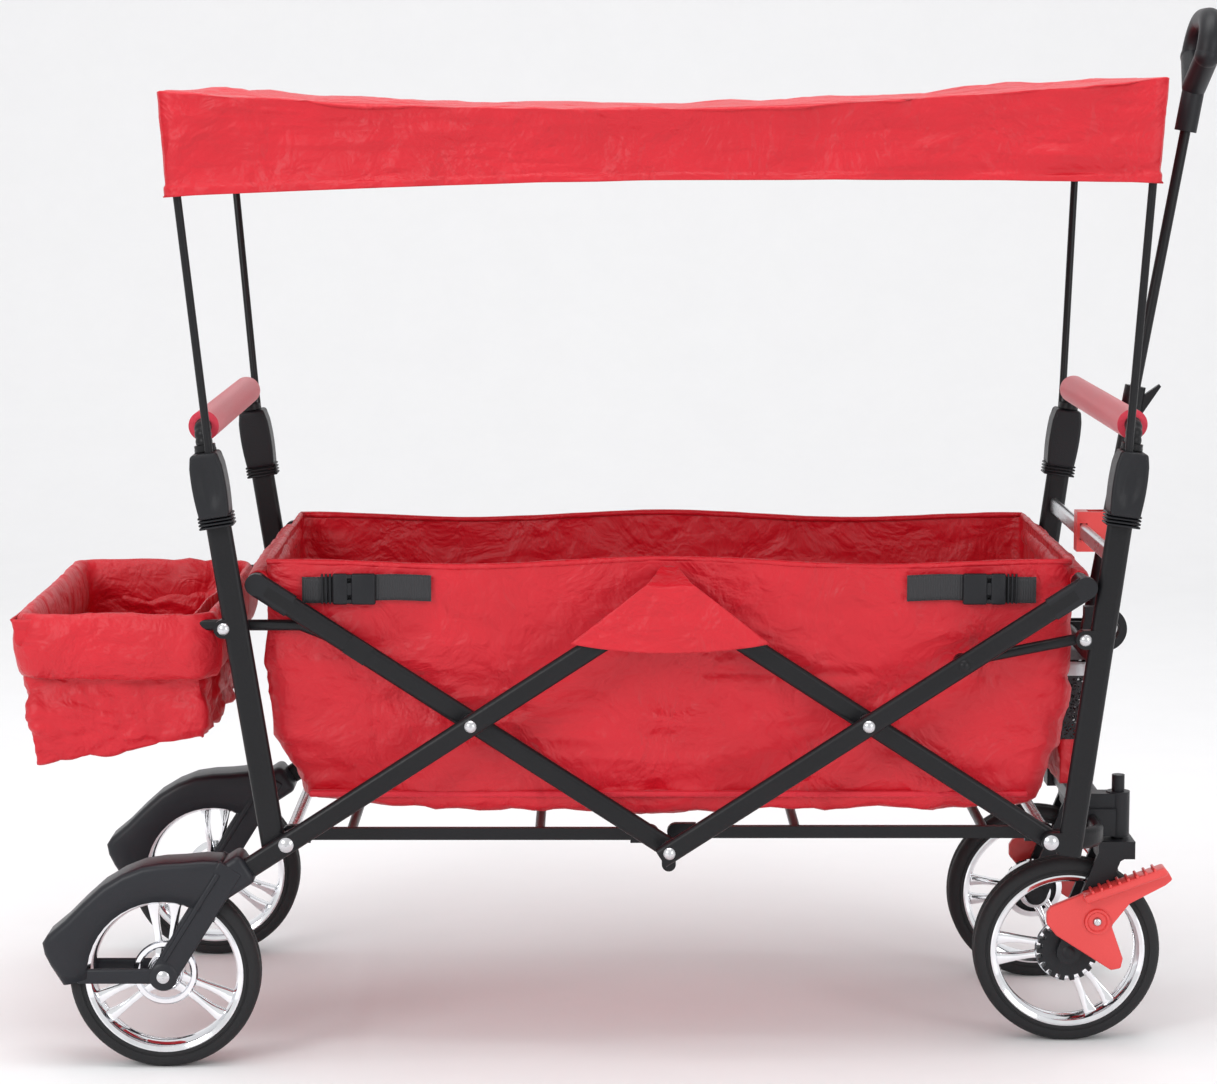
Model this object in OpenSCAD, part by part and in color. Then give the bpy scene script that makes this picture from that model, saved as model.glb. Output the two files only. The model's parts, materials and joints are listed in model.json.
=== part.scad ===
// Folding pull wagon with a canopy, a rear bag, two push bars and a pull handle.
// X runs to the front, Z up. The near side is -Y. The origin lies on the ground, in the middle.

/* [Side frame] */
// Angle of the side members above the horizontal
leg_angle = 33; // [31:0.5:34]
// Distance between neighbouring pivots of the middle rhombus
pivot_span = 234; // [195:1:282]
// From the crossing pivot down to the post pivot
leg_tail = 218; // [200:1:262]
// From the post pivot down to the end of the rear leg
leg_foot = 60; // [50:1:70]
// From the crossing pivot up to the end rail
arm_head = 252.5; // [230:0.5:303]
// Distance from the centre plane to the outer layer of side members
outer_y = 244; // [203:1:293]
// Height of the side members' flat-oval section
tube_w = 21; // [17.5:0.5:25]
// Thickness of the side members' flat-oval section
tube_t = 11; // [9:0.5:13.5]
// Wall of all flat-oval tubes
tube_wall = 1.2; // [1:0.1:1.5]
// Gap between neighbouring layers
layer_gap = 1; // [0.8:0.1:2]
// Diameter of the frame's rivets
rivet_d = 8; // [6.5:0.1:9.6]
// Radial clearance of each turning pin
pin_clear = 0.06; // [0.03:0.01:0.1]

/* [Posts] */
// Width of the post section
post_w = 25; // [22:0.5:27]
// Length of a post above its lower pivot
post_len = 368; // [340:1:400]
// Lean of the rear posts
rear_post_tilt = 9; // [8:0.1:10]
// Lean of the front posts
front_post_tilt = 7.7; // [7:0.1:9]
// Rear post axis behind its lower pivot
rear_post_dx = 14; // [13:0.5:16]
// Front post axis ahead of its lower pivot
front_post_dx = 20; // [19:0.5:22]
// Height of the rear strut pivot above the lower pivot
rear_strut_rise = 214; // [210:1:218]
// Height of the front strut pivot above the lower pivot
front_strut_rise = 203; // [199:1:207]
// Rear strut pivot behind the post axis
rear_strut_dx = 12.6; // [12:0.1:14]
// Front strut pivot behind the post axis
front_strut_dx = 16.8; // [15:0.1:18]
// From the crossing pivot to the rear strut's seat on the arm
rear_arm_tab = 133; // [128:1:136]
// From the crossing pivot to the front strut's seat on the arm
front_arm_tab = 111; // [108:1:114]
// Length of the post clamps
clamp_len = 64; // [55:1:75]

/* [Push bars] */
// Diameter of the push bars
push_d = 16; // [13.5:0.5:19]
// Height of the push bars' cross tube along the post
push_top = 418; // [416:1:440]
// Radius of the push bars' bends
push_bend = 14; // [12:1:16]
// Diameter of the soft push-bar grips
grip_d = 30; // [25:1:36]
// Travel of the push bars
push_travel = 100; // [60:5:105]

/* [Wheels] */
// Wheel diameter
wheel_d = 190; // [158:1:228]
// Tyre width
tyre_w = 34; // [29:1:40]
// Radial thickness of the tyre
tyre_h = 19; // [16:1:22]
// Distance between the rear wheels' centre planes
rear_track = 464; // [454:1:474]
// Distance between the front wheels' centre planes
front_track = 265; // [240:1:290]
// Axle bolt diameter
axle_d = 12; // [10:0.1:14.4]
// Height of the rear leg's end above the axle
axle_rise = 98.5; // [90:0.5:106]
// Clearance from tyre to the rear leg's end
leg_gap = 27; // [24:1:34]
// Thickness of the fork and mudguard walls
fork_t = 6; // [5:0.5:7]
// Side clearance between tyre and forks
fork_gap = 2; // [1.5:0.5:3]
// Caster trail
trail = 51; // [45:1:56]
// Caster stem ahead of the front post pivot
stem_dx = 81; // [78:1:88]
// Front cross tube ahead of the front post pivot
cross_dx = 53; // [50:1:56]
// Diameter of the caster stem
stem_d = 12; // [10:0.5:13]
// Diameter of the caster housing
housing_d = 24; // [21:1:28]

/* [Basket and bag] */
// Fabric wall thickness of the soft solids
cloth_t = 2; // [1.5:0.1:2.5]
// Height of the basket's rim above the end rails
rim_rise = 20; // [15:1:24]
// Depth of the basket below its rim
basket_depth = 255; // [240:1:258]
// Thickness of the floor mat
mat_t = 6; // [4:1:8]
// Reach of the bag behind the rear strut pivot
bag_reach = 208; // [180:1:250]
// Depth of the bag
bag_depth = 148; // [120:1:160]
// Diameter of the bag frame and struts
strut_d = 11; // [9:0.5:12]

/* [Canopy] */
// Diameter of the canopy rods
rod_d = 8; // [6.7:0.1:9.6]
// Length of the rear rods above the clamps
rear_rod_len = 346; // [290:1:415]
// Length of the front rods above the clamps
front_rod_len = 357; // [300:1:425]
// Lean of the rear rods
rear_rod_tilt = 5.6; // [5:0.1:7]
// Lean of the front rods
front_rod_tilt = 3.1; // [2.5:0.1:4]
// How far the rods spread sideways on their way up
rod_splay = 35; // [25:1:40]
// Depth of the canopy's side drop
canopy_drop = 104; // [90:1:125]
// Sag of the canopy's top edge
canopy_sag = 22; // [10:1:30]

/* [Pull handle] */
// Diameter of the handle's outer tube
handle_d = 16; // [14:0.5:19]
// Diameter of the handle's sliding rod
handle_rod_d = 11; // [9:0.5:13]
// Length of the handle's outer tube
handle_tube_len = 258; // [230:1:310]
// Full length from the handle's pivot to the top of its grip
handle_len = 656; // [600:1:790]
// Lean of the handle when it is clipped upright
handle_tilt = 10; // [9:0.1:12]
// Width of the handle's closed grip
handle_grip_w = 112; // [95:1:130]
// Height of the handle's closed grip
handle_grip_h = 116; // [100:1:135]
// Thickness of the grip's hoop
handle_grip_t = 25; // [21:1:28]
// Travel of the handle's sliding rod
handle_travel = 200; // [150:5:210]

/* [Hidden] */
$fn = 48;
black = [0.03, 0.03, 0.035];
plastic = [0.07, 0.07, 0.08];
red = [0.85, 0.04, 0.08];
steel = [0.8, 0.8, 0.82];
eps = 0.01;
near = -1;
far = 1;
rear = -1;
front = 1;

// Layers across the frame, from the outside in
pitch = tube_t + layer_gap;
post_y = outer_y - pitch;
inner_y = outer_y - 2 * pitch;
strut_y = outer_y - 3 * pitch;
cloth_y = strut_y - tube_t / 2 - 1.5;
floor_y = cloth_y - 5;
floor_bar_t = 8;
floor_bar_w = 12;
wheel_r = wheel_d / 2;

// Pivots of the front half as [x, z]; the rear half mirrors them
function along(a, d, ang) = [a[0] + d * cos(ang), a[1] + d * sin(ang)];
function flip(p) = [-p[0], p[1]];
function span(a, b) = norm(b - a);
leg_end_z = wheel_r + axle_rise;
apex = [0, leg_end_z + (pivot_span + leg_tail + leg_foot) * sin(leg_angle)];
cross_pivot = along(apex, pivot_span, -leg_angle);
base_pivot = along(apex, pivot_span + leg_tail, -leg_angle);
leg_end = along(apex, pivot_span + leg_tail + leg_foot, -leg_angle);
mid_pivot = along(cross_pivot, -pivot_span, leg_angle);
rail = along(cross_pivot, arm_head, leg_angle);
rear_tab = along(cross_pivot, rear_arm_tab, leg_angle);
front_tab = along(cross_pivot, front_arm_tab, leg_angle);
rear_strut_pivot = [base_pivot[0] + rear_post_dx + tan(rear_post_tilt) * rear_strut_rise
    + rear_strut_dx, base_pivot[1] + rear_strut_rise];
front_strut_pivot = [base_pivot[0] + front_post_dx + tan(front_post_tilt) * front_strut_rise
    - front_strut_dx, base_pivot[1] + front_strut_rise];

// Rail and rivet sizes
rail_d = 18;
rail_cap_d = 22;
rivet_head_d = rivet_d + 4;
rivet_head_h = 3;
spacer_d = rivet_d + 10;
cross_rod_d = 12;
lug_w = 19;

// Clamps and push bars, measured along the post
clamp_z = post_len - 38;
clamp_w = post_w + 6;
clamp_t = tube_t + 12;
post_room = 0.4;
leg_w = post_w - 2 * tube_wall - 2 * post_room;
leg_t = tube_t - 2 * tube_wall - 2 * post_room;
leg_inside = push_travel + 40;
push_collar = 6;
grip_end = 4;

// Canopy rods: socket at the top of each clamp
rod_y = post_y + clamp_t / 2 + rod_d / 2 + 1;
rod_depth = 40;
rod_straight = 20;
rod_shift = 5;
rod_room = 0.25;
corner_swell = 1.05;
hoop_y = rod_y + rod_splay;
function clamp_top_x(dx, tilt) = base_pivot[0] + dx + sin(tilt) * (clamp_z + clamp_len);
function clamp_top_z(tilt) = base_pivot[1] + cos(tilt) * (clamp_z + clamp_len);
rear_socket = [-clamp_top_x(rear_post_dx, rear_post_tilt) + rod_shift,
    clamp_top_z(rear_post_tilt)];
front_socket = [clamp_top_x(front_post_dx, front_post_tilt) - rod_shift,
    clamp_top_z(front_post_tilt)];
rear_hoop_top = along(rear_socket, rear_rod_len, 90 + rear_rod_tilt);
front_hoop_top = along(front_socket, front_rod_len, 90 - front_rod_tilt);
canopy_room = 1;
canopy_gap = rod_d / 2 + canopy_room + cloth_t;
canopy_y = hoop_y + canopy_gap;
canopy_steps = 16;
hem_rise = 10;
hoop_bend = 14;

// Wheels
spoke_pairs = 3;
spoke_gap = 13;
spoke_w = 7;
hub_d = 40;
rim_t = 6;
rim_w = tyre_w - 8;
rear_y = rear_track / 2;
front_y = front_track / 2;
rear_axle = [-leg_end[0] - sqrt(pow(wheel_r + leg_gap, 2) - pow(axle_rise, 2)), wheel_r];
stem_x = base_pivot[0] + stem_dx;
front_axle = [stem_x - trail, wheel_r];
guard_r = wheel_r + 17;
guard_t = 3.5;
guard_window = wheel_r - tyre_h;
guard_from = 62;
guard_to = 178;
fork_in = tyre_w / 2 + fork_gap;
fork_out = fork_in + fork_t;
fork_arm_w = 27;
fork_reach = 13;
ring_r = 31;
ring_t = 9;
ring_teeth = 18;
pedal_t = 6;
pedal_room = 1.5;
pedal_pivot = [front_axle[0] + 25, wheel_r + 38];
crown_z = wheel_r + 97;
crown_h = 18;
arm_top = [front_axle[0] + 40, crown_z + 2];
housing_z = crown_z + crown_h + 2;
housing_h = 46;
cap_d = 13;
cap_h = 16;
brake_bolt_d = 7;

// Basket
rim_z = rail[1] + rim_rise;
basket_top_x = rail[0] - rail_cap_d / 2 - 3;
basket_mid_x = basket_top_x + 4;
basket_low_x = basket_top_x - 30;
basket_low_z = rim_z - basket_depth + 14;
basket_mid_z = rim_z - 137;
basket_floor_z = rim_z - basket_depth;
basket_line = [[-basket_top_x, rim_z], [-basket_mid_x, basket_mid_z], [-basket_low_x, basket_low_z],
    [0, basket_floor_z], [basket_low_x, basket_low_z], [basket_mid_x, basket_mid_z],
    [basket_top_x, rim_z]];

// Pieces on the basket
bracket_t = 3;
bracket_y = cloth_y + 0.5;
mat_room = 2;
flap_half = 96;
flap_top = 22;
flap_low = 42;
flap_y = outer_y + tube_t / 2 + rivet_head_h + 1;
strap_z = rim_z - 26;
strap_from = basket_top_x - 158;
strap_to = basket_top_x - 30;
strap_h = 26;
strap_t = 2;
buckle_len = 42;
buckle_t = 8;
buckle_x = strap_to - 52;
pocket_depth = 40;
pocket_w = 104;
pocket_h = 128;
pocket_z = basket_low_z + 2;
pocket_mid = 84;

// Legs, arms and posts
cross_bend = 34;
cross_x = base_pivot[0] + cross_dx;
tab_size = 24;
foot_drop = 16;
post_low = 14;
boss_d = 16;
boss_t = strut_d - 2;

// Floor frames
bar_ties = [60, 250];
bar_end_gaps = [18, 8];
rear_floor_y = floor_y - floor_bar_t / 2;
front_floor_y = rear_floor_y - floor_bar_t - 1;
rear_bar_len = base_pivot[0] - bar_end_gaps[0];
front_bar_len = base_pivot[0] - bar_end_gaps[1];

// Bag
bag_bend = [-rear_tab[0] - 58, rear_strut_pivot[1]];
bag_end_x = -rear_strut_pivot[0] - bag_reach;
bag_corner = 28;
bag_turn = 15;
bag_y = strut_y - strut_d / 2 - 1;
bag_line = [[bag_end_x + 8, bag_bend[1] - 2],
    [bag_end_x + 18, bag_bend[1] - bag_depth],
    [-rear_strut_pivot[0] - 10, bag_bend[1] - bag_depth + 24],
    [-rear_strut_pivot[0] - 10, bag_bend[1] - 2]];

// Pull handle
pivot_bar_rise = 179;
pivot_bar_d = 15;
pivot_bar = [base_pivot[0] + front_post_dx + tan(front_post_tilt) * pivot_bar_rise,
    base_pivot[1] + pivot_bar_rise];
handle_pivot = [pivot_bar[0] + 22, pivot_bar[1]];
handle_pin_d = 8;
handle_ear_t = 3;
handle_foot_w = 20;
crossbar_rise = 283;
crossbar = [base_pivot[0] + front_post_dx + tan(front_post_tilt) * crossbar_rise,
    base_pivot[1] + crossbar_rise];
crossbar_h = 18;
crossbar_t = 8;
grip_neck = 40;
clip_wall = 3;
clip_len = 42;
clip_gap = 0.8;
handle_bore = handle_rod_d + 0.8;
collar_h = 34;
loop_y = -70;
loop_w = 44;
loop_h = 46;
loop_t = 8;
loop_drop = 12;
loop_thick = 14;

// Half the way between the bag's outer tube and the far edge of the handle's grip
grip_top_x = handle_pivot[0] + sin(handle_tilt) * (handle_len - handle_grip_t / 2)
    + handle_grip_t / 2;
bag_out_x = bag_end_x + bag_corner * (1 - cos(bag_turn)) - corner_swell * strut_d / 2;
origin_x = (bag_out_x + grip_top_x) / 2;

// ---------- helpers ----------

module to_origin() {
    translate([-origin_x, 0, 0]) children();
}

module both_sides() {
    children();
    mirror([0, 1, 0]) children();
}

// A flat outline in the XZ plane, given thickness t about y
module side_plate(y, t) {
    translate([0, y, 0]) rotate([90, 0, 0]) linear_extrude(t, center = true) children();
}

// A bar outline with round ends between two points
module capsule(a, b, w) {
    translate(a) circle(d = w);
    translate(b) circle(d = w);
    translate(a) rotate(atan2(b[1] - a[1], b[0] - a[0])) translate([0, -w / 2])
        square([span(a, b), w]);
}

module stadium(w, t) {
    square([w - t, t], center = true);
    for (s = [-1, 1]) translate([s * (w - t) / 2, 0]) circle(d = t);
}

// Places z along the line from a to b in the plane at y
module aim(a, b, y) {
    translate([a[0], y, a[1]]) rotate([0, atan2(b[0] - a[0], b[1] - a[1]), 0]) children();
}

module oval_solid(a, b, y, w, t) {
    aim(a, b, y) linear_extrude(span(a, b)) stadium(w, t);
}

module oval_tube(a, b, y, w, t) {
    difference() {
        oval_solid(a, b, y, w, t);
        aim(a, b, y) translate([0, 0, -1]) linear_extrude(span(a, b) + 2)
            stadium(w - 2 * tube_wall, t - 2 * tube_wall);
    }
}

// A round piece along Y from y0 to y1
module pin_y(p, d, y0, y1) {
    translate([p[0], y0, p[1]]) rotate([-90, 0, 0]) cylinder(d = d, h = y1 - y0);
}

// A round rod from point to point; the ball at each corner is a little thicker than the rod
module rod_path(points, d) {
    for (i = [0 : len(points) - 2]) {
        a = points[i];
        b = points[i + 1];
        v = b - a;
        translate(a) rotate([0, acos(v[2] / norm(v)), atan2(v[1], v[0])])
            cylinder(d = d, h = norm(v));
    }
    for (i = [1 : 1 : len(points) - 2]) translate(points[i]) sphere(d = corner_swell * d);
}

// Points of a quarter bend in the YZ plane, from straight up to straight inwards
function bend_up(y, z, r) = [for (a = [0 : 30 : 90]) [0, y - r + r * cos(a), z - r + r * sin(a)]];
function mirror_y(points) = [for (i = [len(points) - 1 : -1 : 0])
    [points[i][0], -points[i][1], points[i][2]]];

// A rivet through the layers from y0 to y1, with a head at each end
module rivet(p, y0, y1) {
    pin_y(p, rivet_d, y0 - eps, y1 + eps);
    pin_y(p, rivet_head_d, y0 - rivet_head_h / 2, y0);
    translate([p[0], y1, p[1]]) rotate([-90, 0, 0]) dome(rivet_head_d, rivet_head_h);
}

// A shallow dome of diameter d and height h, as a cap of a sphere
module dome(d, h) {
    r = (d * d / 4 + h * h) / (2 * h);
    intersection() {
        translate([0, 0, h - r]) sphere(r = r);
        cylinder(d = d + 1, h = h + 1);
    }
}

module post_frame(end, dx, tilt) {
    translate([end * (base_pivot[0] + dx), 0, base_pivot[1]]) rotate([0, end * tilt, 0])
        children();
}

module rod_frame(socket, lean) {
    translate([socket[0], 0, socket[1]]) rotate([0, lean, 0]) children();
}

module pin_hole(p, d = rivet_d) {
    pin_y(p, d + 2 * pin_clear, 0, outer_y + 2 * tube_t);
}

// ---------- rear axle, which stays still over the ground ----------

module axle_bolt(p, y0, y1) {
    pin_y(p, axle_d, y0 - 7, y1);
    translate([p[0], y1, p[1]]) rotate([-90, 0, 0]) dome(axle_d + 6, 4);
    translate([p[0], y0 - 7, p[1]]) rotate([-90, 0, 0]) cylinder(d = axle_d + 8, h = 6, $fn = 6);
}

module rear_axle_bolts() {
    color(steel) to_origin() both_sides()
        axle_bolt(rear_axle, rear_y - fork_out, rear_y + fork_out + 0.3);
}

// ---------- rear legs ----------

module rear_leg_tubes() {
    color(black) to_origin() both_sides() difference() {
        oval_tube(apex, flip(leg_end), outer_y, tube_w, tube_t);
        pin_hole(apex);
        pin_hole(flip(cross_pivot));
        pin_hole(flip(base_pivot), cross_rod_d);
    }
}

// What the mudguard leaves open below, seen from the side
module guard_gap() {
    polygon(concat([[0, 0]], [for (a = [guard_to : 13 : guard_from + 360])
        [3 * guard_r * cos(a), 3 * guard_r * sin(a)]]));
}

// The fork's side view: guard, leg, crown and lower stay
module fork_outline() {
    crown = flip(leg_end) + [-6, -3];
    difference() {
        union() {
            translate(rear_axle) difference() {
                circle(r = guard_r, $fn = 96);
                circle(r = guard_window, $fn = 96);
                guard_gap();
            }
            capsule(rear_axle, flip(leg_end) + [-4, -6], fork_arm_w);
            capsule(crown, along(crown, 16, 30), tube_w + 7);
            translate(rear_axle) rotate(180) translate([0, -7])
                square([guard_window + 12, 15]);
            translate(rear_axle) circle(r = fork_reach + 2);
        }
        translate(rear_axle) circle(d = axle_d + 2 * pin_clear);
    }
}

module rear_forks() {
    color(plastic) to_origin() both_sides() difference() {
        side_plate(rear_y, 2 * fork_out) fork_outline();
        translate([rear_axle[0], rear_y, rear_axle[1]]) rotate([90, 0, 0])
            cylinder(r = guard_r - guard_t, h = 2 * fork_in, center = true, $fn = 96);
        oval_solid(flip(base_pivot), flip(leg_end), outer_y, tube_w, tube_t);
    }
}

module rear_pivot_pins() {
    color(steel) to_origin() {
        pin_y(flip(base_pivot), cross_rod_d, -outer_y - tube_t / 2, outer_y + tube_t / 2);
        both_sides() {
            translate([-base_pivot[0], outer_y + tube_t / 2, base_pivot[1]]) rotate([-90, 0, 0])
                dome(cross_rod_d + 3, rivet_head_h);
            rivet(flip(cross_pivot), inner_y - tube_t / 2, outer_y + tube_t / 2);
            difference() {
                pin_y(flip(cross_pivot), spacer_d, post_y - tube_t / 2, post_y + tube_t / 2);
                pin_y(flip(cross_pivot), rivet_d - eps, post_y - tube_t, post_y + tube_t);
            }
        }
    }
}

// ---------- basket ----------

module apex_brackets() {
    color(plastic) to_origin() both_sides() {
        side_plate(bracket_y + bracket_t / 2, bracket_t)
            capsule(apex + [0, 10], apex - [0, 26], 26);
        pin_y(apex, rivet_d, bracket_y + bracket_t - eps, outer_y + tube_t / 2);
        pin_y(apex, spacer_d, bracket_y + bracket_t - eps, inner_y - tube_t / 2 - 0.3);
        pin_y(apex, spacer_d, post_y - tube_t / 2, post_y + tube_t / 2);
        translate([apex[0], outer_y + tube_t / 2, apex[1]]) rotate([-90, 0, 0])
            dome(rivet_head_d, rivet_head_h);
    }
}

module basket_fabric() {
    color(red) to_origin() difference() {
        side_plate(0, 2 * cloth_y) polygon(basket_line);
        side_plate(0, 2 * (cloth_y - cloth_t)) polygon([for (p = basket_line)
            [p[0] - sign(p[0]) * cloth_t, p[1] > basket_mid_z ? p[1] + 1 : p[1] + cloth_t]]);
    }
}

module floor_mat() {
    half = [basket_low_x - cloth_t - mat_room, cloth_y - cloth_t - mat_room];
    color(red) to_origin() translate([-half[0], -half[1], basket_low_z + cloth_t + 0.5])
        cube([2 * half[0], 2 * half[1], mat_t]);
}

module side_flaps() {
    color(red) to_origin() both_sides() side_plate(flap_y + cloth_t / 2, cloth_t)
        polygon([[-flap_half, apex[1] - flap_low], [0, apex[1] - flap_low - 8],
            [flap_half, apex[1] - flap_low], [0, apex[1] + flap_top]]);
}

module side_straps() {
    color(black) to_origin() both_sides() for (end = [rear, front])
        translate([end * (strap_from + strap_to) / 2, cloth_y + 0.3 + strap_t / 2, strap_z])
            difference() {
                cube([strap_to - strap_from, strap_t, strap_h], center = true);
                translate([end * (buckle_x - (strap_from + strap_to) / 2), 0, 0])
                    cube([buckle_len, strap_t + 1, strap_h + 1], center = true);
            }
}

module strap_buckles() {
    color(plastic) to_origin() both_sides() for (end = [rear, front])
        translate([end * buckle_x, cloth_y + 0.3 + buckle_t / 2, strap_z]) difference() {
            cube([buckle_len, buckle_t, strap_h + 6], center = true);
            for (s = [-1, 1]) translate([0, buckle_t / 2, s * (strap_h / 2 - 1)])
                cube([buckle_len / 2, 4, 5], center = true);
        }
}

module bottle_pockets() {
    color(red) to_origin() both_sides()
        translate([basket_mid_x + 0.5, pocket_mid - pocket_w / 2, pocket_z]) difference() {
            cube([pocket_depth, pocket_w, pocket_h]);
            translate([cloth_t, cloth_t, cloth_t])
                cube([pocket_depth - 2 * cloth_t, pocket_w - 2 * cloth_t, pocket_h]);
        }
}

// ---------- front legs ----------

module front_leg_side(w, t) {
    oval_solid(apex, base_pivot, inner_y, w, t);
    pin_y(base_pivot, w, inner_y - t / 2, inner_y + t / 2);
    translate([base_pivot[0], inner_y, base_pivot[1]]) rotate([0, 90, 0])
        linear_extrude(cross_dx - cross_bend) stadium(w, t);
}

module front_leg_tube() {
    color(black) to_origin() {
        both_sides() difference() {
            union() {
                front_leg_side(tube_w, tube_t);
                translate([cross_x - cross_bend, inner_y - cross_bend, base_pivot[1]])
                    rotate_extrude(angle = 90) translate([cross_bend, 0]) rotate(90)
                        stadium(tube_w, tube_t);
            }
            oval_solid(along(apex, -9, -leg_angle), along(base_pivot, -tube_w, -leg_angle),
                inner_y, tube_w - 2 * tube_wall, tube_t - 2 * tube_wall);
            pin_hole(apex);
            pin_hole(cross_pivot);
            pin_hole(base_pivot, cross_rod_d);
        }
        translate([cross_x, 0, base_pivot[1]]) rotate([90, 0, 0]) difference() {
            linear_extrude(2 * (inner_y - cross_bend), center = true) rotate(90)
                stadium(tube_w, tube_t);
            linear_extrude(2 * inner_y, center = true) rotate(90)
                stadium(tube_w - 2 * tube_wall, tube_t - 2 * tube_wall);
        }
    }
}

// Clamp block on the front cross tube with the caster's upright housing
module caster_brackets() {
    color(plastic) to_origin() both_sides() difference() {
        union() {
            translate([stem_x, front_y, housing_z]) cylinder(d = housing_d, h = housing_h);
            translate([cross_x - tube_t / 2 - 6, front_y - 15, base_pivot[1] - tube_w / 2 - 2])
                cube([stem_x - cross_x + tube_t / 2 + 2, 30, tube_w + 7]);
            translate([cross_x - tube_t / 2 - 4, front_y - 11, housing_z + housing_h - 17])
                cube([stem_x - cross_x + tube_t / 2, 22, 16]);
        }
        translate([cross_x, front_y, base_pivot[1]]) rotate([90, 0, 0])
            linear_extrude(60, center = true) rotate(90) stadium(tube_w, tube_t);
        translate([stem_x, front_y, housing_z - 5])
            cylinder(d = stem_d + 2 * pin_clear, h = housing_h + 20);
    }
}

module front_pivot_pins() {
    color(steel) to_origin() {
        pin_y(base_pivot, cross_rod_d, -post_y - tube_t / 2, post_y + tube_t / 2);
        both_sides() {
            translate([base_pivot[0], post_y + tube_t / 2, base_pivot[1]]) rotate([-90, 0, 0])
                dome(cross_rod_d + 3, rivet_head_h);
            rivet(cross_pivot, inner_y - tube_t / 2, outer_y + tube_t / 2);
            difference() {
                pin_y(cross_pivot, spacer_d, post_y - tube_t / 2, post_y + tube_t / 2);
                pin_y(cross_pivot, rivet_d - eps, post_y - tube_t, post_y + tube_t);
            }
        }
    }
}

// ---------- arms, rising from the lower middle pivot to the end rails ----------

module arm_side(end, y, w, t) {
    low = along(mid_pivot, -10, leg_angle);
    top = along(rail, -rail_d / 2 - 2, leg_angle);
    oval_tube(end < 0 ? flip(low) : low, end < 0 ? flip(top) : top, y, w, t);
}

module rear_arm_tubes() {
    color(black) to_origin() both_sides() difference() {
        union() {
            arm_side(rear, inner_y, tube_w, tube_t);
            side_plate(inner_y + tube_t / 2 + 0.25, 0.5) translate(flip(rear_tab))
                rotate(-leg_angle) square([tab_size, tab_size - 4], center = true);
            side_plate(inner_y, tube_t) capsule(mid_pivot, mid_pivot - [0, foot_drop], 14);
        }
        pin_hole(mid_pivot);
        pin_hole(flip(cross_pivot));
    }
}

module rear_top_rail() {
    color(black) to_origin() difference() {
        pin_y(flip(rail), rail_d, -inner_y + tube_t / 2, inner_y - tube_t / 2);
        pin_y(flip(rail), rail_d - 2 * tube_wall, -inner_y, inner_y);
    }
}

// Corner fitting that joins an arm to the end rail
module rail_end(p, y, end) {
    in_p = along(rail, -40, leg_angle);
    in_q = end < 0 ? flip(in_p) : in_p;
    difference() {
        union() {
            pin_y(p, rail_cap_d, y - tube_t / 2, y + tube_t / 2);
            oval_solid(in_q, p, y, tube_w + 3, tube_t - eps);
        }
        arm_outer(end, y);
        pin_y(p, rail_d - 2 * tube_wall, y - tube_t, y - tube_t / 2 + 1);
    }
}

module arm_outer(end, y) {
    low = along(rail, -60, leg_angle);
    top = along(rail, -rail_d / 2 - 2, leg_angle);
    oval_solid(end < 0 ? flip(low) : low, end < 0 ? flip(top) : top, y, tube_w, tube_t);
}

module rear_rail_ends() {
    color(plastic) to_origin() both_sides() rail_end(flip(rail), inner_y, rear);
}

module arm_rivets() {
    color(steel) to_origin() both_sides() {
        rivet(mid_pivot, inner_y - tube_t / 2, outer_y + tube_t / 2);
        difference() {
            pin_y(mid_pivot, spacer_d, post_y - tube_t / 2, post_y + tube_t / 2);
            pin_y(mid_pivot, rivet_d - eps, post_y - tube_t, post_y + tube_t);
        }
    }
}

module front_arm_tubes() {
    color(black) to_origin() both_sides() difference() {
        union() {
            arm_side(front, outer_y, tube_w, tube_t);
            translate([front_tab[0], outer_y + tube_t / 2 - 0.5, front_tab[1]])
                rotate([-90, 0, 0]) dome(rivet_head_d, rivet_head_h);
        }
        pin_hole(mid_pivot);
        pin_hole(cross_pivot);
    }
}

module front_top_rail() {
    color(black) to_origin() difference() {
        pin_y(rail, rail_d, -outer_y + tube_t / 2, outer_y - tube_t / 2);
        pin_y(rail, rail_d - 2 * tube_wall, -outer_y, outer_y);
    }
}

module front_rail_ends() {
    color(plastic) to_origin() both_sides() rail_end(rail, outer_y, front);
}

// ---------- posts ----------

module post_tube(end, dx, tilt) {
    post_frame(end, dx, tilt) translate([0, post_y, -post_low]) difference() {
        linear_extrude(post_len + post_low) stadium(post_w, tube_t);
        translate([0, 0, post_low + lug_w / 2 + 2]) linear_extrude(post_len)
            stadium(post_w - 2 * tube_wall, tube_t - 2 * tube_wall);
    }
}

module post_lug(p, q, t) {
    side_plate(post_y + (tube_t - t) / 2, t) capsule(p, q, lug_w);
}

module rear_post_tubes() {
    axis_low = [-base_pivot[0] - rear_post_dx, base_pivot[1]];
    axis_up = flip(rear_strut_pivot) + [rear_strut_dx, 0];
    color(black) to_origin() both_sides() difference() {
        union() {
            post_tube(rear, rear_post_dx, rear_post_tilt);
            post_lug(flip(base_pivot), axis_low, tube_t);
            difference() {
                post_lug(flip(rear_strut_pivot), axis_up, tube_t);
                post_frame(rear, rear_post_dx, rear_post_tilt) translate([0, post_y, 0])
                    linear_extrude(post_len) stadium(post_w - 2 * tube_wall, tube_t - 2 * tube_wall);
            }
        }
        pin_hole(flip(base_pivot), cross_rod_d);
        pin_hole(flip(rear_strut_pivot));
    }
}

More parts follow.
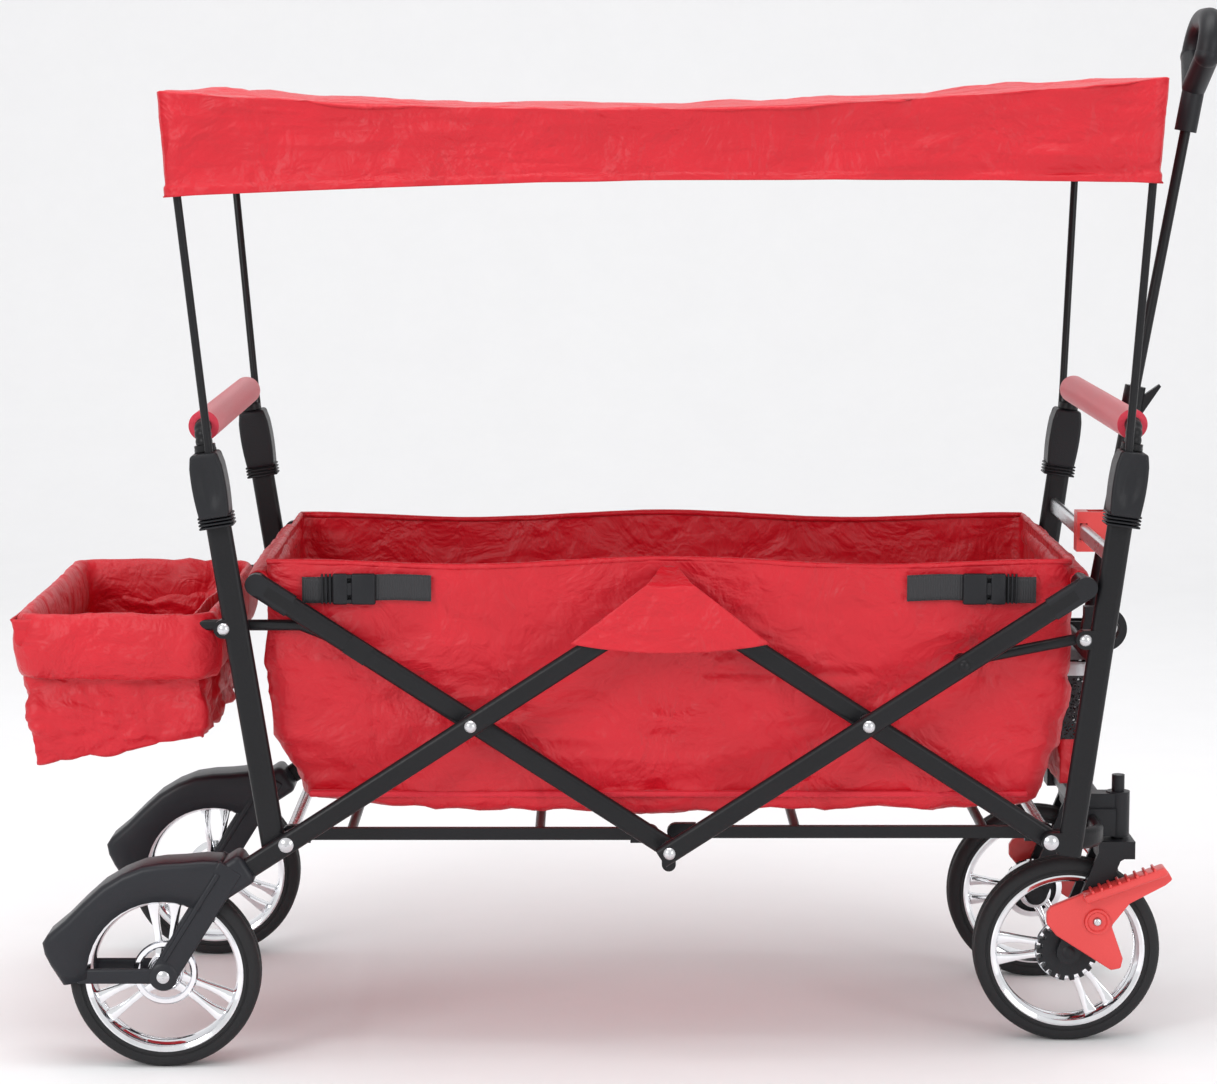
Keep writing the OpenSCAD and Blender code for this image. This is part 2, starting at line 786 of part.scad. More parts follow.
module front_post_tubes() {
    axis_low = base_pivot + [front_post_dx, 0];
    axis_up = front_strut_pivot + [front_strut_dx, 0];
    color(black) to_origin() both_sides() difference() {
        union() {
            post_tube(front, front_post_dx, front_post_tilt);
            post_lug(base_pivot, axis_low, tube_t);
            difference() {
                post_lug(front_strut_pivot, axis_up, tube_t);
                post_frame(front, front_post_dx, front_post_tilt) translate([0, post_y, 0])
                    linear_extrude(post_len) stadium(post_w - 2 * tube_wall, tube_t - 2 * tube_wall);
            }
        }
        pin_hole(base_pivot, cross_rod_d);
        pin_hole(front_strut_pivot);
    }
}

// Barrel outline of a clamp, seen from the side
function barrel(w, h, bulge, n) = concat(
    [for (i = [0 : n]) [w / 2 + bulge * sin(180 * i / n), h * i / n]],
    [for (i = [n : -1 : 0]) [-w / 2 - bulge * sin(180 * i / n), h * i / n]]);

module clamp_body() {
    low = post_y - clamp_t / 2;
    high = rod_y + rod_d / 2 + 3;
    translate([0, 0, clamp_z]) {
        side_plate((low + high) / 2, high - low) polygon(barrel(clamp_w - 4, clamp_len, 3, 8));
        translate([-clamp_w / 2, low - 1, 0]) cube([clamp_w, high - low + 2, 6]);
    }
}

module post_clamp(end, dx, tilt, socket, lean) {
    difference() {
        post_frame(end, dx, tilt) difference() {
            clamp_body();
            translate([0, post_y, clamp_z - 1]) linear_extrude(post_len - clamp_z + 1)
                stadium(post_w, tube_t);
            translate([0, post_y, clamp_z]) linear_extrude(clamp_len + 20)
                stadium(leg_w + 2 * post_room, leg_t + 2 * post_room);
        }
        rod_frame(socket, end * lean) translate([0, rod_y, -rod_depth])
            cylinder(d = rod_d + 2 * rod_room, h = 2 * rod_depth);
    }
}

module rear_post_clamps() {
    color(plastic) to_origin() both_sides()
        post_clamp(rear, rear_post_dx, rear_post_tilt, rear_socket, rear_rod_tilt);
}

module front_post_clamps() {
    color(plastic) to_origin() both_sides()
        post_clamp(front, front_post_dx, front_post_tilt, front_socket, front_rod_tilt);
}

module rear_post_rivets() {
    color(steel) to_origin() both_sides() {
        rivet(flip(rear_strut_pivot), strut_y - corner_swell * strut_d / 2 - 0.1,
            post_y + tube_t / 2);
        difference() {
            pin_y(flip(rear_strut_pivot), spacer_d - 4, inner_y - tube_t / 2, inner_y + tube_t / 2);
            pin_y(flip(rear_strut_pivot), rivet_d - eps, inner_y - tube_t, inner_y + tube_t);
        }
    }
}

module front_post_rivets() {
    color(steel) to_origin() both_sides()
        rivet(front_strut_pivot, inner_y - strut_d / 2, post_y + tube_t / 2);
}

module handle_crossbar() {
    half = post_y - tube_t / 2;
    color(steel) to_origin() translate([crossbar[0], 0, crossbar[1]]) rotate([90, 0, 0])
        difference() {
            linear_extrude(2 * half, center = true) rotate(90) stadium(crossbar_h, crossbar_t);
            linear_extrude(2 * half + 2, center = true) rotate(90)
                stadium(crossbar_h - 2 * tube_wall, crossbar_t - 2 * tube_wall);
        }
}

module pivot_crossbar() {
    half = post_y - tube_t / 2;
    color(black) to_origin() {
        difference() {
            union() {
                pin_y(pivot_bar, pivot_bar_d, -half, half);
                for (s = [-1, 1])
                    side_plate(s * (handle_foot_w / 2 + 0.5 + handle_ear_t / 2), handle_ear_t)
                        capsule(pivot_bar, handle_pivot, 19);
            }
            pin_y(pivot_bar, pivot_bar_d - 2 * tube_wall, -half - 1, half + 1);
        }
        pin_y(handle_pivot, handle_pin_d, -handle_foot_w / 2 - 0.6 - handle_ear_t,
            handle_foot_w / 2 + 0.6 + handle_ear_t);
    }
}

// The handle's axis at height z above the ground
function handle_x(z) = handle_pivot[0] + tan(handle_tilt) * (z - handle_pivot[1]);

module handle_clip() {
    half = handle_d / 2 + clip_gap;
    back = crossbar[0] + crossbar_t / 2;
    tip = handle_x(crossbar[1]) + handle_d / 2 - 2;
    color(red) to_origin() translate([0, 0, crossbar[1] - clip_len / 2]) difference() {
        translate([crossbar[0] - crossbar_t / 2 - clip_wall, -half - clip_wall, 0])
            cube([tip - crossbar[0] + crossbar_t / 2 + clip_wall, 2 * (half + clip_wall), clip_len]);
        translate([back + 1, -half, -1]) cube([tip, 2 * half, clip_len + 2]);
        translate([crossbar[0] - crossbar_t / 2, -half - clip_wall - 1, clip_len / 2 - crossbar_h / 2])
            cube([crossbar_t, 2 * (half + clip_wall) + 2, crossbar_h]);
    }
}

// A closed D-shaped hitch on the front of the lower cross bar
module front_loop() {
    x0 = pivot_bar[0] + pivot_bar_d / 2;
    z0 = pivot_bar[1] - loop_drop;
    color(plastic) to_origin() side_plate(loop_y, loop_thick) difference() {
        union() {
            translate([x0, z0]) square([loop_w - loop_h / 2, loop_h]);
            translate([x0 + loop_w - loop_h / 2, z0 + loop_h / 2]) circle(d = loop_h);
        }
        translate([x0 + loop_t, z0 + loop_t])
            square([loop_w - loop_h / 2 - loop_t, loop_h - 2 * loop_t]);
        translate([x0 + loop_w - loop_h / 2, z0 + loop_h / 2])
            circle(d = loop_h - 2 * loop_t);
    }
}

// ---------- struts, bag ----------

module bag_frame() {
    yc = strut_y - bag_corner;
    xc = bag_end_x + bag_corner;
    tab = flip(rear_tab);
    half = concat([[tab[0], strut_y, tab[1]], [bag_bend[0], strut_y, bag_bend[1]]],
        [for (a = [90 - bag_turn : 30 : 180 - bag_turn])
            [xc + bag_corner * cos(a), yc + bag_corner * sin(a), bag_bend[1]]]);
    color(black) to_origin() difference() {
        union() {
            rod_path(concat(half, mirror_y(half)), strut_d);
            both_sides() {
                pin_y(tab, boss_d, strut_y - boss_t / 2, strut_y + boss_t / 2);
                pin_y(flip(rear_strut_pivot), boss_d, strut_y - boss_t / 2, strut_y + boss_t / 2);
            }
        }
        both_sides() pin_hole(flip(rear_strut_pivot));
    }
}

module rear_bag() {
    color(red) to_origin() difference() {
        side_plate(0, 2 * bag_y) polygon(bag_line);
        side_plate(0, 2 * (bag_y - cloth_t)) polygon([
            bag_line[0] + [cloth_t, 1], bag_line[1] + [cloth_t, cloth_t],
            bag_line[2] + [-cloth_t, cloth_t], bag_line[3] + [-cloth_t, 1]]);
    }
}

module front_struts() {
    color(black) to_origin() both_sides() difference() {
        union() {
            rod_path([[front_tab[0], inner_y, front_tab[1]],
                [front_strut_pivot[0], inner_y, front_strut_pivot[1]]], strut_d);
            pin_y(front_tab, boss_d, inner_y - boss_t / 2, inner_y + boss_t / 2);
            pin_y(front_strut_pivot, boss_d, inner_y - boss_t / 2, inner_y + boss_t / 2);
        }
        pin_hole(front_strut_pivot);
    }
}

// ---------- floor frames ----------

module floor_frame(end, y, length) {
    difference() {
        union() {
            both_sides() side_plate(y, floor_bar_t)
                capsule([end * base_pivot[0], base_pivot[1]],
                    [end * (base_pivot[0] - length), base_pivot[1]], floor_bar_w + 6);
            for (d = bar_ties)
                pin_y([end * (base_pivot[0] - d), base_pivot[1]], 10, -y, y);
        }
        both_sides() pin_hole([end * base_pivot[0], base_pivot[1]], cross_rod_d);
        both_sides() translate([0, y, 0]) for (s = [-1, 1])
            translate([end * (base_pivot[0] - length / 2), 0, base_pivot[1] + s * floor_bar_w])
                cube([length - 40, floor_bar_t + 2, floor_bar_w], center = true);
    }
}

module rear_floor_frame() {
    color(black) to_origin() floor_frame(rear, rear_floor_y, rear_bar_len);
}

module front_floor_frame() {
    color(black) to_origin() floor_frame(front, front_floor_y, front_bar_len);
}

// ---------- push bars ----------

module push_bar() {
    clamp_top = clamp_z + clamp_len;
    half = concat([[0, post_y, clamp_top + push_collar / 2]], bend_up(post_y, push_top, push_bend));
    both_sides() {
        translate([0, post_y, post_len - leg_inside])
            linear_extrude(clamp_top + push_collar / 2 - post_len + leg_inside) stadium(leg_w, leg_t);
        translate([0, post_y, clamp_top + 1]) cylinder(d = push_d + 5, h = push_collar);
    }
    rod_path(concat(half, mirror_y(half)), push_d);
}

module push_grip() {
    half = post_y - push_bend - grip_end;
    translate([0, 0, push_top]) rotate([90, 0, 0]) difference() {
        cylinder(d = grip_d, h = 2 * half, center = true);
        cylinder(d = push_d, h = 2 * half + 2, center = true);
        translate([-0.6, -grip_d, -half - 1]) cube([1.2, grip_d - push_d / 2 + 2, 2 * half + 2]);
    }
}

module rear_push_bar() {
    color(black) to_origin() post_frame(rear, rear_post_dx, rear_post_tilt) push_bar();
}

module rear_grip() {
    color(red) to_origin() post_frame(rear, rear_post_dx, rear_post_tilt) push_grip();
}

module front_push_bar() {
    color(black) to_origin() post_frame(front, front_post_dx, front_post_tilt) push_bar();
}

module front_grip() {
    color(red) to_origin() post_frame(front, front_post_dx, front_post_tilt) push_grip();
}

// ---------- wheels ----------

// Turns a profile of [radius, across] about an axle along Y
module turned(p, y) {
    translate([p[0], y, p[1]]) rotate([90, 0, 0]) rotate_extrude($fn = 96) children();
}

module tyre(p, y) {
    crown = 9;
    color(plastic) to_origin() turned(p, y) difference() {
        union() {
            translate([wheel_r - tyre_h, -tyre_w / 2]) square([tyre_h - crown, tyre_w]);
            translate([wheel_r - crown - eps, -tyre_w / 2 + crown]) square([crown + eps, tyre_w - 2 * crown]);
            for (s = [-1, 1]) translate([wheel_r - crown, s * (tyre_w / 2 - crown)]) circle(r = crown);
        }
        translate([wheel_r - tyre_h - 1, -rim_w / 2 + 3]) square([4, rim_w - 6]);
    }
}

module rim(p, y, hub_h) {
    inner = wheel_r - tyre_h - rim_t;
    color(steel) to_origin() difference() {
        union() {
            turned(p, y) {
                translate([inner, -rim_w / 2]) square([rim_t, rim_w]);
                translate([inner, -tyre_w / 2 + 1]) square([rim_t, tyre_w - 2]);
                translate([inner + rim_t - eps, -rim_w / 2 + 3]) square([3, rim_w - 6]);
            }
            translate([p[0], y, p[1]]) rotate([90, 0, 0]) cylinder(d = hub_d, h = hub_h, center = true);
            for (i = [0 : spoke_pairs - 1]) for (s = [-1, 1])
                translate([p[0], y, p[1]]) rotate([0, 30 + 120 * i, 0]) translate([0, -6, 0])
                    translate([hub_d / 2 - 4, 0, s * spoke_gap / 2 - spoke_w / 2])
                        cube([inner - hub_d / 2 + 6, 12, spoke_w]);
        }
        pin_y(p, axle_d + 2 * pin_clear, y - tyre_w, y + tyre_w);
    }
}

module rear_tyre_near() tyre(rear_axle, near * rear_y);
module rear_rim_near() rim(rear_axle, near * rear_y, tyre_w);
module rear_tyre_far() tyre(rear_axle, far * rear_y);
module rear_rim_far() rim(rear_axle, far * rear_y, tyre_w);
module front_tyre_near() tyre(front_axle, near * front_y);
module front_rim_near() rim(front_axle, near * front_y, tyre_w - 2 * ring_t + 2);
module front_tyre_far() tyre(front_axle, far * front_y);
module front_rim_far() rim(front_axle, far * front_y, tyre_w - 2 * ring_t + 2);

// Toothed brake ring on the outer side of a front hub
module brake_ring(side) {
    y0 = side * (front_y + tyre_w / 2 - ring_t / 2 + 0.5);
    color(plastic) to_origin() side_plate(y0, ring_t - 1) translate(front_axle) difference() {
        union() {
            circle(r = ring_r - 5);
            for (i = [0 : ring_teeth - 1]) rotate(i * 360 / ring_teeth) translate([ring_r - 6, -2.5])
                square([6, 5]);
        }
        circle(d = axle_d + 2 * pin_clear);
    }
}

module brake_ring_near() brake_ring(near);
module brake_ring_far() brake_ring(far);

// ---------- casters ----------

module caster_fork(side) {
    color(plastic) to_origin() on_side(side) difference() {
        union() {
            for (s = [-1, 1]) side_plate(front_y + s * (fork_in + fork_out) / 2, fork_t) {
                capsule(front_axle, arm_top, 24);
                capsule(arm_top, [stem_x, crown_z + 8], 18);
            }
            translate([front_axle[0] + 29, front_y - fork_out, crown_z])
                cube([stem_x - front_axle[0] - 14, 2 * fork_out, crown_h]);
            translate([stem_x, front_y, crown_z]) cylinder(d = stem_d, h = crown_h + housing_h + 6);
            translate([stem_x, front_y, housing_z + housing_h + 1]) cylinder(d = cap_d, h = cap_h);
        }
        pin_y(front_axle, axle_d, front_y - 2 * fork_out, front_y + 2 * fork_out);
        pin_y(pedal_pivot, brake_bolt_d - 0.2, front_y + fork_in - 1, front_y + fork_out + 1);
    }
    color(steel) to_origin() on_side(side)
        axle_bolt(front_axle, front_y - fork_out, front_y + fork_out - 2);
}

// Copies the far-side shape to the near side when side is -1
module on_side(side) {
    mirror([0, side < 0 ? 1 : 0, 0]) children();
}

module caster_fork_near() caster_fork(near);
module caster_fork_far() caster_fork(far);

// Foot pedal that swings into the brake ring
module pedal_outline() {
    p = pedal_pivot;
    polygon([p + [-48, 12], p + [-30, 26], p + [64, 60], p + [73, 51], p + [68, 39], p + [17, 14],
        p + [12, 0], p + [28, -38], p + [24, -46], p + [12, -44], p + [-38, -12]]);
}

module brake_pedal(side) {
    y0 = front_y + fork_out + pedal_room;
    color(red) to_origin() on_side(side) {
        difference() {
            side_plate(y0 + pedal_t / 2, pedal_t) pedal_outline();
            translate([pedal_pivot[0], y0 + pedal_t, pedal_pivot[1]]) rotate([90, 0, 0])
                cylinder(d = 16, h = 3, center = true);
        }
        pin_y(pedal_pivot, brake_bolt_d - 0.4, front_y + fork_in + 1, y0 + eps);
    }
}

module brake_pedal_near() brake_pedal(near);
module brake_pedal_far() brake_pedal(far);

// ---------- pull handle ----------

module handle_frame() {
    translate([handle_pivot[0], 0, handle_pivot[1]]) rotate([0, handle_tilt, 0]) children();
}

module handle_tube() {
    color(black) to_origin() handle_frame() difference() {
        union() {
            rotate([90, 0, 0]) cylinder(d = 18, h = handle_foot_w, center = true);
            cylinder(d = handle_d, h = handle_tube_len);
            translate([0, 0, handle_tube_len - collar_h]) cylinder(d = handle_d + 6, h = collar_h + 2);
            side_plate(0, 7) polygon([[6, handle_tube_len - 26], [10, handle_tube_len - 30],
                [26, handle_tube_len + 6], [24, handle_tube_len + 8], [8, handle_tube_len - 8]]);
        }
        rotate([90, 0, 0]) cylinder(d = handle_pin_d + 2 * pin_clear, h = 40, center = true);
        translate([0, 0, 12]) cylinder(d = handle_bore, h = handle_tube_len);
    }
}

module handle_rod() {
    low = handle_tube_len - 40;
    color(black) to_origin() handle_frame() translate([0, 0, low])
        cylinder(d = handle_rod_d, h = handle_len - handle_grip_h - low);
}

// Closed oval grip with a neck that seats on the sliding rod
module handle_grip() {
    r = handle_grip_t / 2;
    half = handle_grip_w / 2 - r;
    top = handle_len - r;
    bend = 30;
    low = handle_len - handle_grip_h + grip_neck;
    color(plastic) to_origin() handle_frame() difference() {
        union() {
            both_sides() {
                rod_path([[0, 0, low - 6], [0, half, low + 26], [0, half, top - bend]], handle_grip_t);
                translate([0, half - bend, top - bend]) rotate([90, 0, 90])
                    rotate_extrude(angle = 90) translate([bend, 0]) circle(d = handle_grip_t);
            }
            translate([0, 0, top]) rotate([90, 0, 0])
                cylinder(d = handle_grip_t, h = 2 * (half - bend), center = true);
            translate([0, 0, handle_len - handle_grip_h - 12])
                cylinder(d = handle_grip_t - 2, h = grip_neck + 12);
            translate([0, 0, low - 6]) sphere(d = handle_grip_t);
        }
        translate([0, 0, handle_len - handle_grip_h - 20]) cylinder(d = handle_rod_d, h = 20);
    }
}

// ---------- canopy ----------

// Height of the canopy's top edge at share u of its length, from 0 at the rear to 1 at the front
function top_edge(u) = (1 - u) * rear_hoop_top[1] + u * front_hoop_top[1] + canopy_gap
    - canopy_sag * sin(180 * u);
function hem_edge(u) = (1 - u) * rear_hoop_top[1] + u * front_hoop_top[1] + canopy_gap
    - canopy_drop + hem_rise * sin(180 * u);
function edge_x(u, drop, gap) = (1 - u) * (rear_hoop_top[0] + tan(rear_rod_tilt) * drop - gap)
    + u * (front_hoop_top[0] - tan(front_rod_tilt) * drop + gap);

module canopy_fabric() {
    steps = [for (i = [0 : canopy_steps]) i / canopy_steps];
    color(red) to_origin() difference() {
        side_plate(0, 2 * canopy_y) polygon(concat(
            [for (u = steps) [edge_x(u, 0, canopy_gap), top_edge(u)]],
            [for (i = [canopy_steps : -1 : 0])
                [edge_x(i / canopy_steps, canopy_drop, canopy_gap), hem_edge(i / canopy_steps)]]));
        side_plate(0, 2 * (canopy_y - cloth_t)) polygon(concat(
            [for (u = steps) [edge_x(u, 0, canopy_gap - cloth_t), top_edge(u) - cloth_t]],
            [[edge_x(1, canopy_drop + 30, canopy_gap - cloth_t), hem_edge(1) - 30],
            [edge_x(0, canopy_drop + 30, canopy_gap - cloth_t), hem_edge(0) - 30]]));
    }
}

module hoop(socket, lean, length) {
    half = concat([[0, rod_y, -rod_depth + 2], [0, rod_y, rod_straight]],
        bend_up(hoop_y, length, hoop_bend));
    rod_frame(socket, lean) rod_path(concat(half, mirror_y(half)), rod_d);
}

module rear_hoop() {
    color(black) to_origin() hoop(rear_socket, -rear_rod_tilt, rear_rod_len);
}

module front_hoop() {
    color(black) to_origin() hoop(front_socket, front_rod_tilt, front_rod_len);
}

rear_axle_bolts();
rear_leg_tubes();
rear_forks();
rear_pivot_pins();
apex_brackets();
basket_fabric();
floor_mat();
side_flaps();
side_straps();
strap_buckles();
bottle_pockets();
front_leg_tube();
caster_brackets();
front_pivot_pins();
rear_arm_tubes();
rear_top_rail();
rear_rail_ends();
arm_rivets();
front_arm_tubes();
front_top_rail();
front_rail_ends();
rear_post_tubes();
rear_post_clamps();
rear_post_rivets();
front_post_tubes();
front_post_clamps();
front_post_rivets();
handle_crossbar();
pivot_crossbar();
handle_clip();
front_loop();
bag_frame();
rear_bag();
front_struts();
rear_floor_frame();
front_floor_frame();
rear_push_bar();
rear_grip();
front_push_bar();
front_grip();
rear_tyre_near();
rear_rim_near();
rear_tyre_far();
rear_rim_far();
front_tyre_near();
front_rim_near();
brake_ring_near();
front_tyre_far();
front_rim_far();
brake_ring_far();
caster_fork_near();
caster_fork_far();
brake_pedal_near();
brake_pedal_far();
handle_tube();
handle_rod();
handle_grip();
canopy_fabric();
rear_hoop();
front_hoop();
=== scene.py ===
# %% [markdown]
# # A folding pull wagon, dressed in cloth, chrome and plastic
# The frame of this wagon comes from a CAD model and stays as it is. This script adds what CAD can't
# draw well: the sewn tub, the canopy, the bag, the wheels and the moulded parts. Every piece is made
# in the CAD frame, in metres, with +X to the front, -Y to the near side and +Z up.

# %% Load the frame
import json
import math

import bmesh
import bpy
from mathutils import Matrix, Vector, noise


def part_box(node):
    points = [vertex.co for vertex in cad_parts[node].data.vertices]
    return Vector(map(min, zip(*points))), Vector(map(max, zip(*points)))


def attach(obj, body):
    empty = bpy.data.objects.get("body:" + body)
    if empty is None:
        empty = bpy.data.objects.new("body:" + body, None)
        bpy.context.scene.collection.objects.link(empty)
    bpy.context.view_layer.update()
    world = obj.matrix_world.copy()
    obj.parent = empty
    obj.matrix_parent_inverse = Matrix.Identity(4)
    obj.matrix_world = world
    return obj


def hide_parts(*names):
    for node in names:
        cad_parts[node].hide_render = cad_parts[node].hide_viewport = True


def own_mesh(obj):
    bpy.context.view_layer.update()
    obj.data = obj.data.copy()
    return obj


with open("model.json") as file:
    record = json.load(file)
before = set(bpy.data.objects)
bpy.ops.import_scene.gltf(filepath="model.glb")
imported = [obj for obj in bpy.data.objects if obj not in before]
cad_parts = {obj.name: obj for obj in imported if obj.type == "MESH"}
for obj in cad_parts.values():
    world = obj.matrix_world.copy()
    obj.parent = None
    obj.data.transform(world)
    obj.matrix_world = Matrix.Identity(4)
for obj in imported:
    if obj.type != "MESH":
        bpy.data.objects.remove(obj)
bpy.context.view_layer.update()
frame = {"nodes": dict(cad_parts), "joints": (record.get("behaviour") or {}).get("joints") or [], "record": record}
joints = {j["name"]: j for j in frame["joints"]}
MM = 0.001
NEAR, FAR = -1, 1


def joint_point(name):
    return Vector(joints[name]["pos_m"])


# %% [markdown]
# ## Camera, floor and light
# The wagon is seen square from its side, from a little above the tub, through a long lens. A paper
# sweep stands behind it: a floor that bends up into a wall has no horizon line. One big soft lamp
# overhead and two at the sides give the even light of a studio.

# %% Camera
camera_data = bpy.data.cameras.new("camera")
camera_data.sensor_width = 36
camera_data.lens = 103.5
camera_data.shift_x = 0.0111
camera = bpy.data.objects.new("camera", camera_data)
camera.location = (-0.0321, -3.643, 0.955)
camera.rotation_euler = (math.radians(90 - 7.165), 0, 0)
bpy.context.scene.collection.objects.link(camera)
bpy.context.scene.camera = camera
bpy.context.scene.view_settings.view_transform = "Standard"


# %% A new mesh object
def new_piece(name, mesh_edit, smooth=True):
    """Turns a bmesh into an object and frees it."""
    mesh = bpy.data.meshes.new(name)
    mesh_edit.to_mesh(mesh)
    mesh_edit.free()
    if smooth:
        mesh.shade_smooth()
    piece = bpy.data.objects.new(name, mesh)
    bpy.context.scene.collection.objects.link(piece)
    return piece


# %% Sweep of paper
def paper_sweep():
    sweep = bmesh.new()
    bend, wall = 1.6, 3.2
    profile = [(-7, 0), (wall, 0)]
    profile += [(wall + bend * math.sin(a), bend - bend * math.cos(a))
                for a in (math.radians(d) for d in range(10, 91, 10))]
    profile += [(wall + bend, 6)]
    verts = [sweep.verts.new((-9, y, z)) for y, z in profile]
    edges = [sweep.edges.new(pair) for pair in zip(verts, verts[1:])]
    side = bmesh.ops.extrude_edge_only(sweep, edges=edges)["geom"]
    bmesh.ops.translate(sweep, vec=(18, 0, 0), verts=[g for g in side if isinstance(g, bmesh.types.BMVert)])
    bmesh.ops.recalc_face_normals(sweep, faces=sweep.faces[:])
    return new_piece("paper_sweep", sweep)


sweep = paper_sweep()


# %% Lamps
def area_lamp(name, place, target, size, power):
    data = bpy.data.lights.new(name, "AREA")
    data.shape = "RECTANGLE"
    data.size, data.size_y = size
    data.energy = power
    lamp = bpy.data.objects.new(name, data)
    lamp.location = place
    lamp.rotation_euler = (Vector(target) - Vector(place)).to_track_quat("-Z", "Y").to_euler()
    bpy.context.scene.collection.objects.link(lamp)


area_lamp("overhead", (0, -0.3, 3.2), (0, 0, 0.4), (2.6, 1.8), 50)
area_lamp("key", (-2.4, -3.2, 2.1), (0, 0, 0.5), (1.3, 1.3), 44)
area_lamp("fill", (2.6, -2.8, 1.3), (0, 0, 0.5), (1.2, 1.4), 20)
world = bpy.data.worlds.new("studio")
world.use_nodes = True
world.node_tree.nodes["Background"].inputs["Color"].default_value = (1, 1, 1, 1)
world.node_tree.nodes["Background"].inputs["Strength"].default_value = 0.85
bpy.context.scene.world = world


# %% [markdown]
# ## Shader maths as plain expressions
# A finish is easier to read as `roughness = 0.4 + grain * 0.1` than as a tree of boxes. The small
# class below wraps one socket, and each operator adds the Math node that it stands for.

# %% Sockets that can be added and multiplied
class Value:
    def __init__(self, finish, socket):
        self.finish, self.socket = finish, socket

    def math(self, operation, *others):
        return self.finish.node("ShaderNodeMath", {"operation": operation}, self, *others)

    def __add__(self, other): return self.math("ADD", other)
    def __radd__(self, other): return self.math("ADD", other)
    def __sub__(self, other): return self.math("SUBTRACT", other)
    def __rsub__(self, other): return (self * -1) + other
    def __mul__(self, other): return self.math("MULTIPLY", other)
    def __rmul__(self, other): return self.math("MULTIPLY", other)

    def above(self, edge, soft=0.05):
        """0 below the edge, 1 above it, with a soft step."""
        return ((self - edge) * (1 / soft)).math("ADD", 0.5).math("MINIMUM", 1.0).math("MAXIMUM", 0.0)


# %% One class for all finishes
class Finish:
    """A material with a Principled shader. Fixed values are set straight on its sockets."""

    def __init__(self, name, **fixed):
        self.material = bpy.data.materials.new(name)
        self.material.use_nodes = True
        self.tree = self.material.node_tree
        self.shader = self.tree.nodes["Principled BSDF"]
        for key, value in fixed.items():
            self.shader.inputs[key.replace("_", " ")].default_value = value

    def node(self, kind, settings, *values, output=0, **named):
        made = self.tree.nodes.new(kind)
        for key, value in settings.items():
            setattr(made, key, value)
        pairs = [(made.inputs[i], v) for i, v in enumerate(values)]
        pairs += [(made.inputs[k.replace("_", " ")], v) for k, v in named.items()]
        for socket, value in pairs:
            self.feed(socket, value)
        return Value(self, made.outputs[output])

    def feed(self, socket, value):
        if isinstance(value, Value):
            self.tree.links.new(value.socket, socket)
        else:
            socket.default_value = value

    def place(self):
        return self.node("ShaderNodeTexCoord", {}, output="Object")

    def grain(self, scale, detail=3.0, distortion=0.0, stretch=(1, 1, 1)):
        """Noise whose grains are about one over scale metres across."""
        at = self.node("ShaderNodeMapping", {}, self.place(), (0, 0, 0), (0, 0, 0), stretch)
        return self.node("ShaderNodeTexNoise", {}, Vector=at, Scale=scale, Detail=detail,
                         Distortion=distortion)

    def axis(self, name):
        return self.node("ShaderNodeSeparateXYZ", {}, self.place(), output=name)

    def blend(self, factor, low, high):
        """A colour between low and high."""
        mixed = self.tree.nodes.new("ShaderNodeMix")
        mixed.data_type = "RGBA"
        self.feed(mixed.inputs[0], factor)
        self.feed(mixed.inputs[6], (*low, 1) if isinstance(low, tuple) else low)
        self.feed(mixed.inputs[7], (*high, 1) if isinstance(high, tuple) else high)
        return Value(self, mixed.outputs[2])

    def set(self, **links):
        for key, value in links.items():
            self.feed(self.shader.inputs[key.replace("_", " ")], value)

    def relief(self, height, depth):
        """Bumps of that depth in metres, where height runs from 0 to 1."""
        bump = self.node("ShaderNodeBump", {}, Strength=1.0, Distance=depth, Height=height)
        self.set(Normal=bump)


# %% [markdown]
# ## Finishes
# Every finish has colour, gloss and relief at the size that the real one shows. Cloth has fine
# grain and small creases. Powder coat has a light orange peel. Moulded plastic has a spark-eroded
# grain. Chrome is a mirror with faint smears.

# %% Red cloth
RED_DARK, RED_LIGHT = (0.46, 0.0005, 0.008), (0.66, 0.001, 0.016)


def cloth_finish(name, dark, light, gloss=0.42):
    cloth = Finish(name, Sheen_Weight=0.08, Sheen_Roughness=0.4, Specular_IOR_Level=0.5)
    thread = cloth.grain(1500, 2, stretch=(1, 1, 0.55))
    shade = cloth.grain(14, 3)
    crease = cloth.grain(13, 4, 0.9)
    small = cloth.grain(38, 3, 0.8)
    cloth.set(Base_Color=cloth.blend(shade * 0.7 + thread * 0.3, dark, light),
              Roughness=gloss + thread * 0.14 - crease * 0.05)
    cloth.relief(crease * 0.78 + small * 0.21 + thread * 0.01, 0.017)
    return cloth


red_cloth = cloth_finish("red_cloth", RED_DARK, RED_LIGHT)
mat_cloth = cloth_finish("mat_cloth", (0.5, 0.004, 0.015), (0.7, 0.008, 0.03), 0.55)


# %% Black webbing
def webbing_finish():
    webbing = Finish("webbing", Sheen_Weight=0.3, Sheen_Roughness=0.4)
    rib = webbing.node("ShaderNodeMath", {"operation": "SINE"}, webbing.axis("X") * 2600)
    thread = webbing.grain(900, 2)
    webbing.set(Base_Color=webbing.blend(thread, (0.008, 0.008, 0.01), (0.03, 0.03, 0.034)),
                Roughness=0.55 + thread * 0.2)
    webbing.relief(rib * 0.25 + thread * 0.4, 0.0006)
    return webbing


webbing = webbing_finish()


